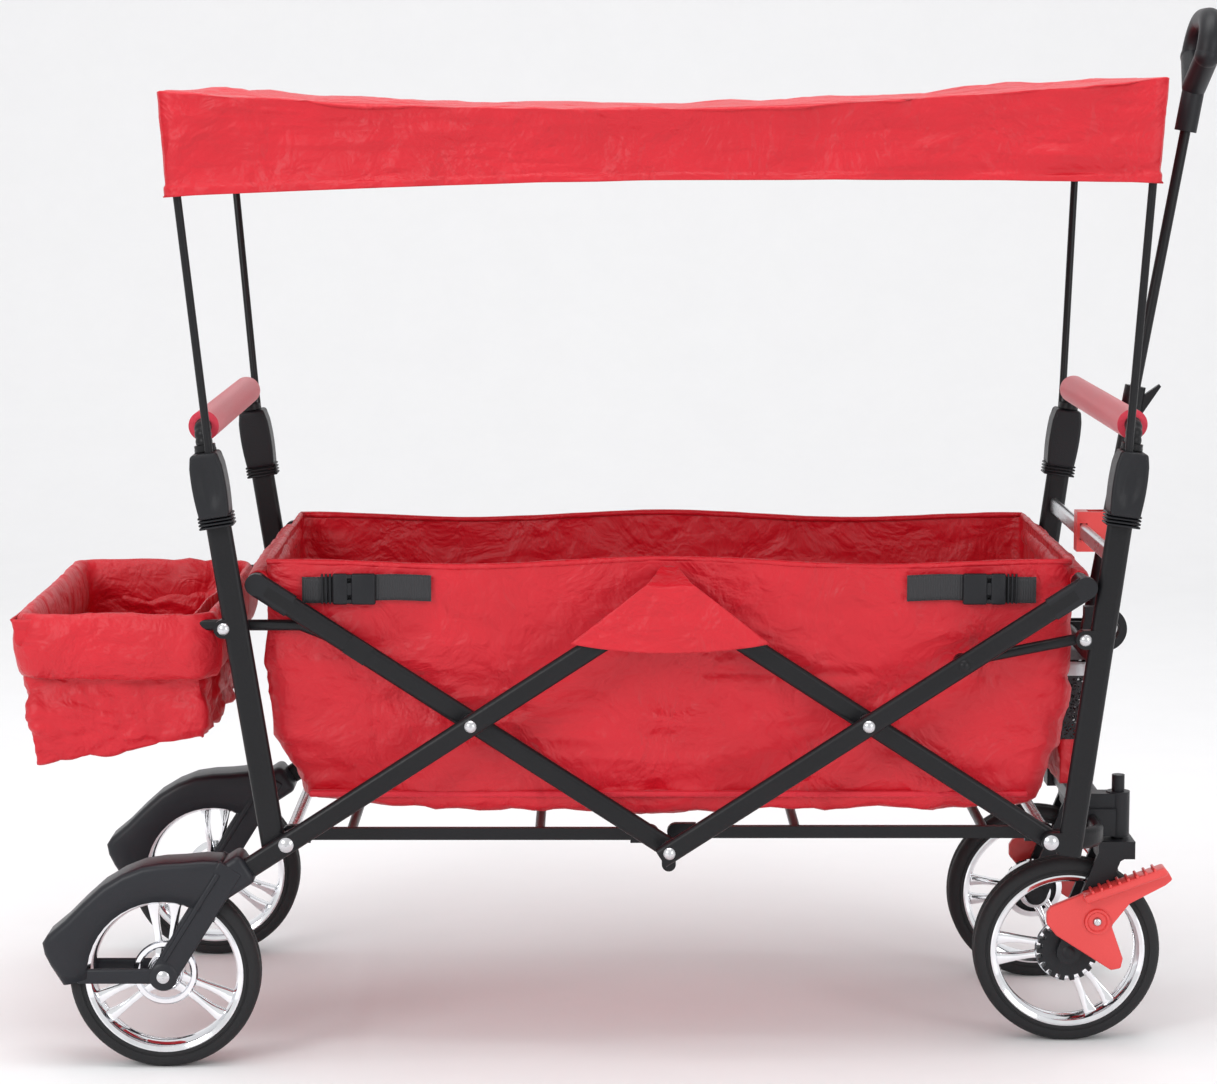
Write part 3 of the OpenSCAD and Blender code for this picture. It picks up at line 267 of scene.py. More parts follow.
# %% Powder coat, plastics and rubber
def moulded(name, dark, light, gloss, depth, scale, spread=0.12, **fixed):
    """Colour drift, fine relief and a gloss that varies a little: coat, plastic, rubber or foam."""
    made = Finish(name, **fixed)
    fine = made.grain(scale, 3)
    drift = made.grain(9, 2)
    made.set(Base_Color=made.blend(drift * 0.6 + fine * 0.4, dark, light),
             Roughness=gloss + (fine - 0.5) * spread + (drift - 0.5) * 0.1)
    made.relief(fine, depth)
    return made


powder_coat = moulded("powder_coat", (0.003, 0.003, 0.004), (0.010, 0.010, 0.012), 0.36, 0.0002, 420,
                     Specular_IOR_Level=0.28)
black_plastic = moulded("black_plastic", (0.005, 0.005, 0.007), (0.014, 0.015, 0.018), 0.42, 0.00018,
                        900, Specular_IOR_Level=0.3)
guard_plastic = moulded("guard_plastic", (0.007, 0.008, 0.011), (0.018, 0.019, 0.025), 0.38, 0.00015,
                        700, Specular_IOR_Level=0.35)
tyre_rubber = moulded("tyre_rubber", (0.007, 0.007, 0.008), (0.022, 0.022, 0.024), 0.62, 0.0005, 260,
                      Specular_IOR_Level=0.3)
red_foam = moulded("red_foam", (0.50, 0.012, 0.035), (0.72, 0.035, 0.075), 0.62, 0.0006, 520,
                   Sheen_Weight=0.4)
red_plastic = moulded("red_plastic", (0.62, 0.035, 0.035), (0.78, 0.065, 0.060), 0.34, 0.0001, 600,
                      Coat_Weight=0.2, Coat_Roughness=0.2)


# %% Metals
def metal(name, dark, light, gloss, streak):
    made = Finish(name, Metallic=1.0)
    smear = made.grain(18, 3)
    line = made.grain(60, 3, stretch=streak)
    made.set(Base_Color=made.blend(line, dark, light), Roughness=gloss + smear * 0.08 + line * 0.05)
    made.relief(line, 0.00008)
    return made


chrome = metal("chrome", (0.72, 0.73, 0.76), (0.93, 0.94, 0.96), 0.02, (1, 1, 1))
steel = metal("steel", (0.50, 0.50, 0.52), (0.74, 0.74, 0.76), 0.2, (1, 8, 1))
silver = metal("silver", (0.55, 0.56, 0.58), (0.80, 0.81, 0.83), 0.22, (1, 12, 12))


# %% Black net of the bottle pockets
def net_finish():
    net = Finish("black_net", Roughness=0.7)
    cells = net.node("ShaderNodeTexVoronoi", {"feature": "DISTANCE_TO_EDGE"}, Vector=net.place(),
                     Scale=260.0)
    net.set(Base_Color=net.blend(net.grain(300), (0.01, 0.01, 0.012), (0.03, 0.03, 0.035)),
            Alpha=1 - cells.above(0.16, 0.08) * 0.75)
    return net


black_net = net_finish()
reflector = moulded("reflector", (0.42, 0.44, 0.46), (0.62, 0.64, 0.66), 0.3, 0.0003, 800,
                    Metallic=0.4)
paper = moulded("paper", (0.86, 0.86, 0.87), (0.90, 0.90, 0.91), 0.75, 0.0001, 40)
sweep.data.materials.append(paper.material)

# %% Dress the CAD nodes by their slots
SLOT_FINISH = {
    "frame_black": powder_coat, "black_plastic": black_plastic, "rivet_steel": steel,
    "bright_chrome": chrome, "silver_bar": silver, "tyre_black": tyre_rubber,
    "red_fabric": red_cloth, "black_webbing": webbing, "red_foam": red_foam,
    "red_plastic": red_plastic,
}
for part in frame["record"]["subparts"]:
    node = frame["nodes"][part["node"]]
    node.data.materials.clear()
    node.data.materials.append(SLOT_FINISH[part["material_slot"]].material)
print("dressed", len(frame["nodes"]), "CAD nodes")


# %% [markdown]
# ## Helpers for cloth
# Coated nylon doesn't drape in round folds: it crumples into flat facets with sharp creases between
# them. The distance between the two nearest points of a scattered set has just that shape, so a
# cell pattern, bent by noise, moves the surface in and out.

# %% Crumpled cloth
def crumple(point, size, seed):
    """1 in the middle of a facet, 0 on a crease. size is the facets' size in metres, per axis."""
    at = Vector((point[0] / size[0], point[1] / size[1], point[2] / size[2])) + Vector((seed, 0, seed))
    near = noise.voronoi(at + noise.noise_vector(at * 0.8) * 0.55)[0]
    return min((near[1] - near[0]) * 1.6, 1.0)


def wrinkle(verts, depth, size, seed, mask=lambda co: 1.0):
    """Moves each vertex along its normal: big facets, half-size ones and a slow wave."""
    half = tuple(s * 0.45 for s in size)
    moves = {}
    for v in verts:
        big, small = crumple(v.co, size, seed), crumple(v.co, half, seed + 7)
        slow = noise.noise(v.co * 6 + Vector((seed, seed, 0)))
        moves[v] = v.normal * depth * mask(v.co) * (big * 0.6 + small * 0.3 + slow * 0.7 - 0.5)
    for v, move in moves.items():
        v.co += move


def ease(t):
    """0 to 1 with a soft start and end."""
    t = min(max(t, 0.0), 1.0)
    return t * t * (3 - 2 * t)


# %% A sewn box of cloth
def cloth_box(cuts, place, rounding):
    """An open cube of cloth: place() sends its unit corners to the real shape, w = 1 at the opening."""
    cloth = bmesh.new()
    bmesh.ops.create_cube(cloth, size=2.0)
    lid = [f for f in cloth.faces if f.normal.z > 0.5]
    bmesh.ops.delete(cloth, geom=lid, context="FACES")
    bmesh.ops.subdivide_edges(cloth, edges=cloth.edges[:], cuts=cuts, use_grid_fill=True)
    for v in cloth.verts:
        v.co = place(*v.co)
    for _ in range(rounding):
        inner = [v for v in cloth.verts if not v.is_boundary]
        bmesh.ops.smooth_vert(cloth, verts=inner, factor=0.5, use_axis_x=True, use_axis_y=True,
                              use_axis_z=True)
    bmesh.ops.recalc_face_normals(cloth, faces=cloth.faces[:])
    cloth.normal_update()
    return cloth


def sheet_area(cloth):
    return sum(f.calc_area() for f in cloth.faces)


def thicken(piece, thickness, offset=-1.0):
    solid = piece.modifiers.new("thickness", "SOLIDIFY")
    solid.thickness = thickness
    solid.offset = offset
    return piece


# %% [markdown]
# ## The tub
# The tub is one sewn box of coated nylon that hangs in the frame. It could be five flat panels, but
# real cloth turns its corners in soft curves, and its floor sags between the frame's pivots. An
# open cube, cut fine and sent to the right shape, keeps one unbroken skin. The upper band is a
# second layer, so it stands a little proud of the seam below it.

# %% Tub
TUB_LOW, TUB_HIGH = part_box("basket_fabric")
TUB_MID = (TUB_LOW.x + TUB_HIGH.x) / 2
TUB_RIM = TUB_HIGH.z
BAND_SEAM = TUB_RIM - 112 * MM
FLOOR_RISE = 14 * MM


def tub_place(u, v, w):
    h = (w + 1) / 2
    half_x = (TUB_HIGH.x - TUB_LOW.x) / 2
    length = half_x - 34 * MM * (1 - ease(h / 0.42)) - 3 * MM * ease((h - 0.5) * 2)
    width = TUB_HIGH.y - 9 * MM * (1 - ease(h / 0.3)) - 5.5 * MM
    dip = 13 * MM * (1 - math.cos(2 * math.pi * u)) / 2
    low = TUB_LOW.z + FLOOR_RISE * abs(u)
    high = TUB_RIM - dip * (1 - 0.5 * abs(v)) + 3 * MM * abs(v) * (1 - abs(u))
    z = low + (high - low) * h
    proud = 3.4 * MM * ease((z - BAND_SEAM) / (3 * MM) + 0.5)
    sag = 5 * MM * math.sin(math.pi * h) * math.cos(math.pi * u / 2)
    side = 1 if abs(v) > 0.999 else 0
    return Vector((TUB_MID + u * (length + proud), v * (width - sag * side * 0.6 + proud), z))


def tub_mask(co):
    """Calm at the rim, lively on the walls."""
    seam = ease(abs(co.z - BAND_SEAM) / (9 * MM))
    band = 0.45 if co.z > BAND_SEAM else 1.0
    return band * (0.4 + 0.6 * ease((TUB_RIM - co.z) / (60 * MM))) * (0.15 + 0.85 * seam)


def make_tub():
    cloth = cloth_box(66, tub_place, 5)
    wrinkle(cloth.verts, 11 * MM, (0.11, 0.09, 0.06), 3.0, tub_mask)
    area = sheet_area(cloth)
    tub = thicken(new_piece("tub_cloth", cloth), 1.4 * MM)
    tub.data.materials.append(red_cloth.material)
    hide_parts("basket_fabric")
    print("tub cloth", round(area, 3), "square metres")
    return tub


tub = make_tub()


# %% [markdown]
# ### Rolled rim and end sleeves
# The rim is turned over a cord and stitched, and at each end the cloth wraps the top rail of the
# frame in a sleeve. Both are tubes swept along a path. The sleeves ride on the arms that carry the
# rails, so they leave the tub when the wagon folds.

# %% Tube along a path
def swept_tube(path, radius, sides=12, closed=False, squash=1.0):
    """A tube of rings along the path's points, as a bmesh. Radius may be a function of the share."""
    tube = bmesh.new()
    rings = []
    count = len(path)
    for i, p in enumerate(path):
        ahead = path[(i + 1) % count] if closed else path[min(i + 1, count - 1)]
        behind = path[i - 1] if closed or i else path[0]
        turn = (ahead - behind).to_track_quat("Z", "Y").to_matrix().to_4x4()
        r = radius(i / max(count - 1, 1)) if callable(radius) else radius
        ring = bmesh.ops.create_circle(tube, segments=sides, radius=r, cap_ends=False,
                                       matrix=Matrix.Translation(p) @ turn
                                       @ Matrix.Diagonal((1, squash, 1, 1)))
        rings.append([e for e in {e for v in ring["verts"] for e in v.link_edges}])
    pairs = list(zip(rings, rings[1:])) + ([(rings[-1], rings[0])] if closed else [])
    for a, b in pairs:
        bmesh.ops.bridge_loops(tube, edges=a + b)
    if not closed:
        bmesh.ops.holes_fill(tube, edges=[e for e in tube.edges if e.is_boundary], sides=0)
    bmesh.ops.recalc_face_normals(tube, faces=tube.faces[:])
    return tube


# %% Rim roll
def rim_path(place, steps, inset):
    """The rim's closed line: once round the opening at w = 1."""
    corners = [(-1, -1), (1, -1), (1, 1), (-1, 1)]
    path = []
    for (u0, v0), (u1, v1) in zip(corners, corners[1:] + corners[:1]):
        for i in range(steps):
            t = i / steps
            path.append(place(u0 + (u1 - u0) * t, v0 + (v1 - v0) * t, 1))
    centre = sum(path, Vector()) / len(path)
    return [p - Vector((math.copysign(inset, p.x - centre.x) if abs(p.y) < 0.19 else 0, 0, 0))
            for p in path]


def make_rim_roll():
    roll = swept_tube(rim_path(tub_place, 40, 0), 3.4 * MM, 8, closed=True)
    wrinkle(roll.verts, 1.2 * MM, (0.05, 0.05, 0.03), 9.0)
    piece = new_piece("tub_rim_roll", roll)
    piece.data.materials.append(red_cloth.material)
    return piece


rim_roll = make_rim_roll()


# %% End sleeves round the rails
def make_sleeve(name, node, body):
    low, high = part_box(node)
    centre = (low + high) / 2
    half = 199 * MM
    path = [Vector((centre.x, -half + 2 * half * i / 60, centre.z)) for i in range(61)]
    sleeve = swept_tube(path, lambda t: 13.5 * MM - 3 * MM * ease(abs(t - 0.5) * 20 - 9), 20)
    caps = [f for f in sleeve.faces if len(f.verts) > 4]
    bmesh.ops.delete(sleeve, geom=caps, context="FACES")
    sleeve.normal_update()
    wrinkle(sleeve.verts, 3.2 * MM, (0.03, 0.05, 0.03), 21.0)
    piece = thicken(new_piece(name, sleeve), 1.2 * MM)
    piece.data.materials.append(red_cloth.material)
    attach(piece, body)
    return piece


for name, node, body in (("rear_sleeve", "rear_top_rail", "rear_arms"),
                         ("front_sleeve", "front_top_rail", "front_arms")):
    make_sleeve(name, node, body)

# %% [markdown]
# ## The canopy
# The canopy is a shallow box of the same cloth, pulled over the two hoops with its opening down. Its
# top sags between the hoops and its hem is a doubled band. It is the tub's method upside down.

# %% Canopy
ROOF_LOW, ROOF_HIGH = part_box("canopy_fabric")
REAR_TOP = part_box("rear_hoop")[1].z + 2.6 * MM
FRONT_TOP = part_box("front_hoop")[1].z + 2.6 * MM
ROOF_DROP = 101 * MM
LEAN = 8 * MM


def roof_place(u, v, w):
    drop = (w + 1) / 2
    t = (u + 1) / 2
    top = REAR_TOP + (FRONT_TOP - REAR_TOP) * t
    bow = math.sin(math.pi * t)
    rib = 1 - 0.12 * math.cos(math.pi * v)
    low = top - ROOF_DROP + 9 * MM * bow
    high = top - 21 * MM * bow * rib
    z = high + (low - high) * drop
    half = (ROOF_HIGH.x - ROOF_LOW.x) / 2 + 1.5 * MM
    x = (ROOF_LOW.x + ROOF_HIGH.x) / 2 + u * (half - LEAN * drop)
    hem = 1.8 * MM * ease((drop - 0.895) / 0.02)
    fold = 1.6 * MM * (ease((abs(u) - 0.953) / 0.006))
    pull = 5 * MM * bow * math.sin(math.pi * drop) if abs(v) > 0.999 else 0
    return Vector((x + math.copysign(hem, u) * (abs(u) > 0.999), v * (ROOF_HIGH.y - 2 * MM - pull + hem + fold), z))


def roof_mask(co):
    """Stronger towards the corners, where the hoops pull the cloth."""
    share = abs(co.x - (ROOF_LOW.x + ROOF_HIGH.x) / 2) / ((ROOF_HIGH.x - ROOF_LOW.x) / 2)
    hem = ease((co.z - (ROOF_LOW.z + 12 * MM)) / (16 * MM))
    over_hoop = ease((share - 0.9) / 0.07)
    return (0.55 + 0.45 * share) * (0.2 + 0.8 * hem) * (1 - 0.85 * over_hoop)


def make_canopy():
    cloth = cloth_box(66, roof_place, 2)
    wrinkle(cloth.verts, 10 * MM, (0.15, 0.13, 0.05), 12.0, roof_mask)
    area = sheet_area(cloth)
    canopy = thicken(new_piece("canopy_cloth", cloth), 1.2 * MM)
    canopy.data.materials.append(red_cloth.material)
    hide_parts("canopy_fabric")
    joint_point("canopy_level")
    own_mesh(canopy)
    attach(canopy, "canopy")
    print("canopy cloth", round(area, 3), "square metres")


make_canopy()

# %% [markdown]
# ## The rear bag
# A sleeve holds the bag on its wire frame, and the bag slumps below it. The sleeve is the fat upper
# band, then the cloth is gathered, and then it bulges under its own weight.

# %% Rear bag
BAG_LOW, BAG_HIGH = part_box("rear_bag")
FRAME_LOW, FRAME_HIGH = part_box("bag_frame")
BAG_RIM = BAG_HIGH.z + 8 * MM


def bag_place(u, v, w):
    h = (w + 1) / 2
    band = ease((h - 0.76) / 0.06)
    back = FRAME_LOW.x - 1 * MM + 12 * MM * (1 - band) + 8 * MM * (1 - h)
    ahead = BAG_HIGH.x - 22 * MM + 10 * MM * (1 - h) * (1 - band)
    t = (u + 1) / 2
    low = BAG_LOW.z + 24 * MM * t + 3 * MM
    z = low + (BAG_RIM - low) * h
    bulge = 7 * MM * math.sin(math.pi * min(h / 0.8, 1.0))
    width = 199 * MM + 14 * MM * band + bulge * 0.3 - 5 * MM * (1 - ease(h / 0.12))
    x = back + (ahead - back) * t + (bulge * u if abs(u) > 0.999 else 0)
    return Vector((x, v * width, z))


def make_bag():
    cloth = cloth_box(56, bag_place, 4)
    wrinkle(cloth.verts, 12 * MM, (0.075, 0.08, 0.05), 31.0,
            lambda co: 0.35 + 0.65 * ease((BAG_RIM - co.z) / (50 * MM)))
    area = sheet_area(cloth)
    bag = thicken(new_piece("rear_bag_cloth", cloth), 1.4 * MM)
    bag.data.materials.append(red_cloth.material)
    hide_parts("rear_bag")
    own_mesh(bag)
    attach(bag, "rear_struts")
    print("bag cloth", round(area, 3), "square metres")


make_bag()


# %% Sleeve that holds the bag on its wire frame
def make_bag_sleeve():
    """A tall oval tube round the frame's open loop, so that the wire shows only in front of the bag."""
    back, ahead, side = FRAME_LOW.x + 8 * MM, BAG_HIGH.x - 6 * MM, FRAME_HIGH.y - 5.5 * MM
    corner, height = 24 * MM, BAG_HIGH.z - 20 * MM
    path = []
    for cx, cy, start in ((back + corner, -side + corner, 180), (ahead - corner, -side + corner, 270),
                          (ahead - corner, side - corner, 0), (back + corner, side - corner, 90)):
        path += [Vector((cx + corner * math.cos(a), cy + corner * math.sin(a), height))
                 for a in (math.radians(start + 90 * i / 8) for i in range(9))]
    fine = []
    for a, b in zip(path, path[1:] + path[:1]):
        steps = max(1, round((b - a).length / (9 * MM)))
        fine += [a.lerp(b, i / steps) for i in range(steps)]
    sleeve = swept_tube(fine, 11.5 * MM, 22, closed=True, squash=2.9)
    sleeve.normal_update()
    wrinkle(sleeve.verts, 3.6 * MM, (0.05, 0.05, 0.06), 61.0)
    piece = new_piece("bag_sleeve", sleeve)
    piece.data.materials.append(red_cloth.material)
    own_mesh(piece)
    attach(piece, "rear_struts")


make_bag_sleeve()

# %% [markdown]
# ## Flaps, straps and pockets
# A triangular flap on each side hides the joint where the legs cross. Webbing straps with
# side-release buckles pull the tub's corners to the frame, and two bottle pockets hang in front.

# %% Side flaps
APEX = joint_point("basket_hang")
FLAP_LOW, FLAP_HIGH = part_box("side_flaps")


def make_flap(side):
    flap = bmesh.new()
    bmesh.ops.create_grid(flap, x_segments=48, y_segments=36, size=1.0)
    top, base = FLAP_HIGH.z + 5 * MM, FLAP_LOW.z + 6 * MM
    for v in flap.verts:
        s, t = v.co.x, (1 - v.co.y) / 2
        half = 7 * MM + 91 * MM * t
        bow = 9 * MM * (1 - s * s) * ease(t * 1.2)
        out = TUB_HIGH.y + 12 * MM + (FLAP_HIGH.y - TUB_HIGH.y - 12 * MM) * ease(t * 5)
        out += 3 * MM * (1 - s * s) * t
        v.co = Vector((APEX.x + s * half, side * out, top + (base - top) * t - bow))
    bmesh.ops.recalc_face_normals(flap, faces=flap.faces[:])
    flap.normal_update()
    wrinkle(flap.verts, 3.5 * MM, (0.06, 0.05, 0.04), 40.0 + side)
    piece = thicken(new_piece("side_flap_" + ("near" if side < 0 else "far"), flap), 1.6 * MM, 0)
    piece.data.materials.append(red_cloth.material)
    return piece


flaps = [make_flap(side) for side in (NEAR, FAR)]
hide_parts("side_flaps")


# %% Straps
STRAP_LOW, STRAP_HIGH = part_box("side_straps")
BUCKLE_LOW, BUCKLE_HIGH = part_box("strap_buckles")
STRAP_REACH = 128 * MM
BUCKLE_HALF = 23 * MM


def make_strap(side, end):
    strap = bmesh.new()
    bmesh.ops.create_grid(strap, x_segments=40, y_segments=6, size=1.0)
    outer = STRAP_HIGH.x if end > 0 else STRAP_LOW.x
    inner = outer - end * STRAP_REACH
    mid_z, half_z = (STRAP_LOW.z + STRAP_HIGH.z) / 2, (STRAP_HIGH.z - STRAP_LOW.z) / 2
    for v in strap.verts:
        t = (v.co.x + 1) / 2
        lift = 3 * MM * ease(1 - abs(t - 0.48) / 0.25) + 1.0 * MM * math.sin(t * 9)
        v.co = Vector((inner + (outer - inner) * t, side * (TUB_HIGH.y + 4.2 * MM + lift),
                       mid_z + v.co.y * half_z + 1.5 * MM * math.sin(t * 5)))
    bmesh.ops.recalc_face_normals(strap, faces=strap.faces[:])
    name = f"strap_{'near' if side < 0 else 'far'}_{'front' if end > 0 else 'rear'}"
    piece = thicken(new_piece(name, strap), 1.7 * MM, 0)
    piece.data.materials.append(webbing.material)
    return piece


straps = [make_strap(side, end) for side in (NEAR, FAR) for end in (-1, 1)]
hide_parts("side_straps")


# %% A block with rounded edges
def block(edit, centre, size, radius=1.5 * MM, segments=3, turn=None):
    """Adds a box of that size to the bmesh, bevelled all round, and returns its vertices."""
    turn = turn or Matrix.Identity(4)
    made = bmesh.ops.create_cube(edit, size=1.0)["verts"]
    bmesh.ops.scale(edit, vec=size, verts=made)
    edges = list({e for v in made for e in v.link_edges})
    done = bmesh.ops.bevel(edit, geom=edges, offset=radius, offset_type="OFFSET", affect="EDGES",
                           segments=segments, profile=0.5, material=-1)
    verts = list({v for f in done["faces"] for v in f.verts})
    bmesh.ops.transform(edit, matrix=Matrix.Translation(centre) @ turn, verts=verts)
    return verts


def round_edges(edit, radius, segments=3, sharper=0.6):
    edges = [e for e in edit.edges if e.is_manifold and e.calc_face_angle(0) > sharper]
    bmesh.ops.bevel(edit, geom=edges, offset=radius, offset_type="OFFSET", affect="EDGES",
                    segments=segments, profile=0.5, material=-1, clamp_overlap=True)


# %% Side-release buckles
def make_buckle(side, end):
    buckle = bmesh.new()
    outer = STRAP_HIGH.x if end > 0 else STRAP_LOW.x
    x = outer - end * 52 * MM
    y = side * (TUB_HIGH.y + 8.5 * MM)
    z = (BUCKLE_LOW.z + BUCKLE_HIGH.z) / 2
    block(buckle, (x - end * 9 * MM, y, z), (24 * MM, 7 * MM, 31 * MM), 2 * MM)
    block(buckle, (x + end * 14 * MM, y, z), (15 * MM, 6 * MM, 31 * MM), 2 * MM)
    block(buckle, (x + end * 4 * MM, y, z), (12 * MM, 4 * MM, 13 * MM), 1.2 * MM)
    for up in (-1, 1):
        block(buckle, (x + end * 3 * MM, y, z + up * 12.5 * MM), (18 * MM, 5 * MM, 4.5 * MM), 1.5 * MM)
    for i in range(3):
        block(buckle, (x + end * (24 + 4 * i) * MM, y - side * 1.5 * MM, z), (2 * MM, 4 * MM, 30 * MM), 0.7 * MM)
    name = f"buckle_{'near' if side < 0 else 'far'}_{'front' if end > 0 else 'rear'}"
    piece = new_piece(name, buckle)
    piece.data.materials.append(black_plastic.material)
    return piece


buckles = [make_buckle(side, end) for side in (NEAR, FAR) for end in (-1, 1)]
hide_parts("strap_buckles")

# %% Bottle pockets
POCKET_LOW, POCKET_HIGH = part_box("bottle_pockets")
POCKET_Y = 84 * MM
POCKET_HALF = 51 * MM


def make_pocket(side):
    def place(u, v, w):
        h = (w + 1) / 2
        bulge = 5 * MM * math.sin(math.pi * h * 0.9)
        x = POCKET_LOW.x + 1 * MM if u < 0 else POCKET_HIGH.x - 1 * MM + bulge - 6 * MM * (1 - h)
        x = POCKET_LOW.x + 1 * MM + (x - POCKET_LOW.x - 1 * MM) * (u + 1) / 2 if u > 0 else (
            POCKET_LOW.x + 1 * MM + (POCKET_HIGH.x - POCKET_LOW.x + bulge) * (u + 1) / 2)
        return Vector((x, side * POCKET_Y + v * (POCKET_HALF - 4 * MM * (1 - h)),
                       POCKET_LOW.z + (POCKET_HIGH.z - POCKET_LOW.z) * h))

    cloth = cloth_box(26, place, 3)
    wrinkle(cloth.verts, 3 * MM, (0.05, 0.05, 0.04), 50.0 + side)
    net_from, net_to = POCKET_LOW.z + 46 * MM, POCKET_HIGH.z - 16 * MM
    for f in cloth.faces:
        z = f.calc_center_median().z
        f.material_index = 0 if z < net_from else (1 if z < net_to else 2)
    piece = thicken(new_piece("bottle_pocket_" + ("near" if side < 0 else "far"), cloth), 1.0 * MM)
    for finish in (red_cloth, black_net, reflector):
        piece.data.materials.append(finish.material)
    return piece


pockets = [make_pocket(side) for side in (NEAR, FAR)]
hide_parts("bottle_pockets")


# %% Floor mat
def make_mat():
    low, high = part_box("floor_mat")
    mat = bmesh.new()
    bmesh.ops.create_cube(mat, size=1.0)
    bmesh.ops.scale(mat, vec=high - low, verts=mat.verts)
    bmesh.ops.translate(mat, vec=(low + high) / 2, verts=mat.verts)
    bmesh.ops.bevel(mat, geom=mat.edges[:], offset=2 * MM, offset_type="OFFSET", affect="EDGES",
                    segments=2, profile=0.5, material=-1)
    bmesh.ops.subdivide_edges(mat, edges=mat.edges[:], cuts=40, use_grid_fill=True)
    third = (high.x - low.x) / 3
    for v in mat.verts:
        channel = min(abs(v.co.x - low.x - third * k) for k in (1, 2))
        if v.co.z > (low.z + high.z) / 2:
            v.co.z -= 2.2 * MM * (1 - ease(channel / (7 * MM)))
    piece = new_piece("floor_mat_pad", mat)
    piece.data.materials.append(mat_cloth.material)
    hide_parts("floor_mat")
    return piece


floor_pad = make_mat()

# %% The tub's pieces ride together on the basket body
for piece in [tub, rim_roll, floor_pad, *flaps, *straps, *buckles, *pockets]:
    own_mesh(piece)
    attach(piece, "basket")


# %% [markdown]
# ## Wheels
# A tyre and a rim are turned shapes, so one half-section is spun round the axle. The rim is a deep
# chromed barrel with a bright lip, and three pairs of spokes that are narrow in the middle and
# flare where they meet the barrel.

# %% Spin a section round an axle
WHEEL_R = joint_point("rear_wheel_spin_near").z
RIM_R = WHEEL_R - 19 * MM


def spin_section(edit, section, centre, steps=96):
    """Spins a closed section of (radius, across) points round the Y axis through centre."""
    verts = [edit.verts.new((centre[0] + r, centre[1] + y, centre[2])) for r, y in section]
    edges = [edit.edges.new((a, b)) for a, b in zip(verts, verts[1:] + verts[:1])]
    bmesh.ops.spin(edit, geom=verts + edges, cent=centre, axis=(0, 1, 0), dvec=(0, 0, 0),
                   angle=2 * math.pi, steps=steps, use_merge=True, use_duplicate=False)


def finish_turned(name, edit, finish, smooth=True):
    bmesh.ops.remove_doubles(edit, verts=edit.verts[:], dist=0.00001)
    bmesh.ops.recalc_face_normals(edit, faces=edit.faces[:])
    piece = new_piece(name, edit, smooth)
    piece.data.materials.append(finish.material)
    return piece


def mm_section(points, side=1):
    return [(r * MM, y * side * MM) for r, y in points]


# %% Tyre
def make_tyre(tag, centre):
    tyre = bmesh.new()
    crown = [(95 - 9 * (1 - math.cos(a)), 8 + 9 * math.sin(a))
             for a in (math.radians(d) for d in range(0, 91, 15))]
    groove = [(95, 1.2), (93.6, 1.6), (93.6, 4.4), (95, 4.8)]
    half = groove + crown + [(84, 17), (83.4, 16.2), (82.4, 16.2), (81.8, 17), (77.5, 16.4), (76, 14)]
    section = [(r, -y) for r, y in reversed(half)] + half
    spin_section(tyre, mm_section(section), centre)
    piece = finish_turned("tyre_" + tag, tyre, tyre_rubber)
    piece.data.set_sharp_from_angle(angle=math.radians(40))
    return piece


# %% Rim with three pairs of waisted spokes
SPOKE_DEPTH = 11 * MM


def spoke(edit, angle, side, offset):
    """Adds one flat bar from the hub to the barrel, waisted in the middle and turned to its angle."""
    bar = bmesh.new()
    bmesh.ops.create_cube(bar, size=1.0)
    along = [e for e in bar.edges if abs(e.verts[0].co.x - e.verts[1].co.x) > 0.5]
    bmesh.ops.subdivide_edges(bar, edges=along, cuts=9)
    start, end = 15 * MM, 73.5 * MM
    for v in bar.verts:
        t = v.co.x + 0.5
        width = (6.2 + 9 * (t - 0.42) ** 2 * (2.6 if t > 0.42 else 2)) * MM
        splay = offset * (5.2 + 5.5 * ease(t * 1.1)) * MM
        dish = side * (3.5 - 6 * math.sin(math.pi * t) * 0.45) * MM
        v.co = Vector((start + (end - start) * t, v.co.y * SPOKE_DEPTH + dish, splay + v.co.z * width))
    bar.normal_update()
    round_edges(bar, 1.1 * MM, 2, 0.9)
    bar.transform(Matrix.Rotation(-math.radians(angle), 4, "Y"))
    made = bpy.data.meshes.new("spoke")
    bar.to_mesh(made)
    bar.free()
    edit.from_mesh(made)
    bpy.data.meshes.remove(made)


def make_rim(tag, centre, side, first_angle, hub_out):
    rim = bmesh.new()
    origin = Vector((0, 0, 0))
    for k in range(3):
        for offset in (-1, 1):
            spoke(rim, first_angle + 120 * k, side, offset)
    barrel = [(76, -14.5), (78.6, -15.6), (78.6, -16.6), (77, -17), (73.5, -15.5), (71.5, -12),
              (70.4, -4), (70.4, 4), (71.5, 12), (73.5, 15.5), (77, 17), (78.6, 16.6),
              (78.6, 15.6), (76, 14.5), (74.2, 9), (74.2, -9)]
    spin_section(rim, mm_section(barrel), origin)
    hub = [(6.1, -16), (14, -16), (17.5, -13.5), (18.5, -8), (18.5, 8), (17.5, 12),
           (14, hub_out), (9, hub_out), (6.1, hub_out - 1)]
    spin_section(rim, mm_section(hub, side), origin, 48)
    ring = [(26, 4), (31.5, 5), (32.5, 7), (31, 9), (27, 9), (25.2, 7)]
    spin_section(rim, mm_section(ring, side), origin, 72)
    bmesh.ops.translate(rim, vec=centre, verts=rim.verts)
    piece = finish_turned("rim_" + tag, rim, chrome)
    piece.data.set_sharp_from_angle(angle=math.radians(35))
    return piece


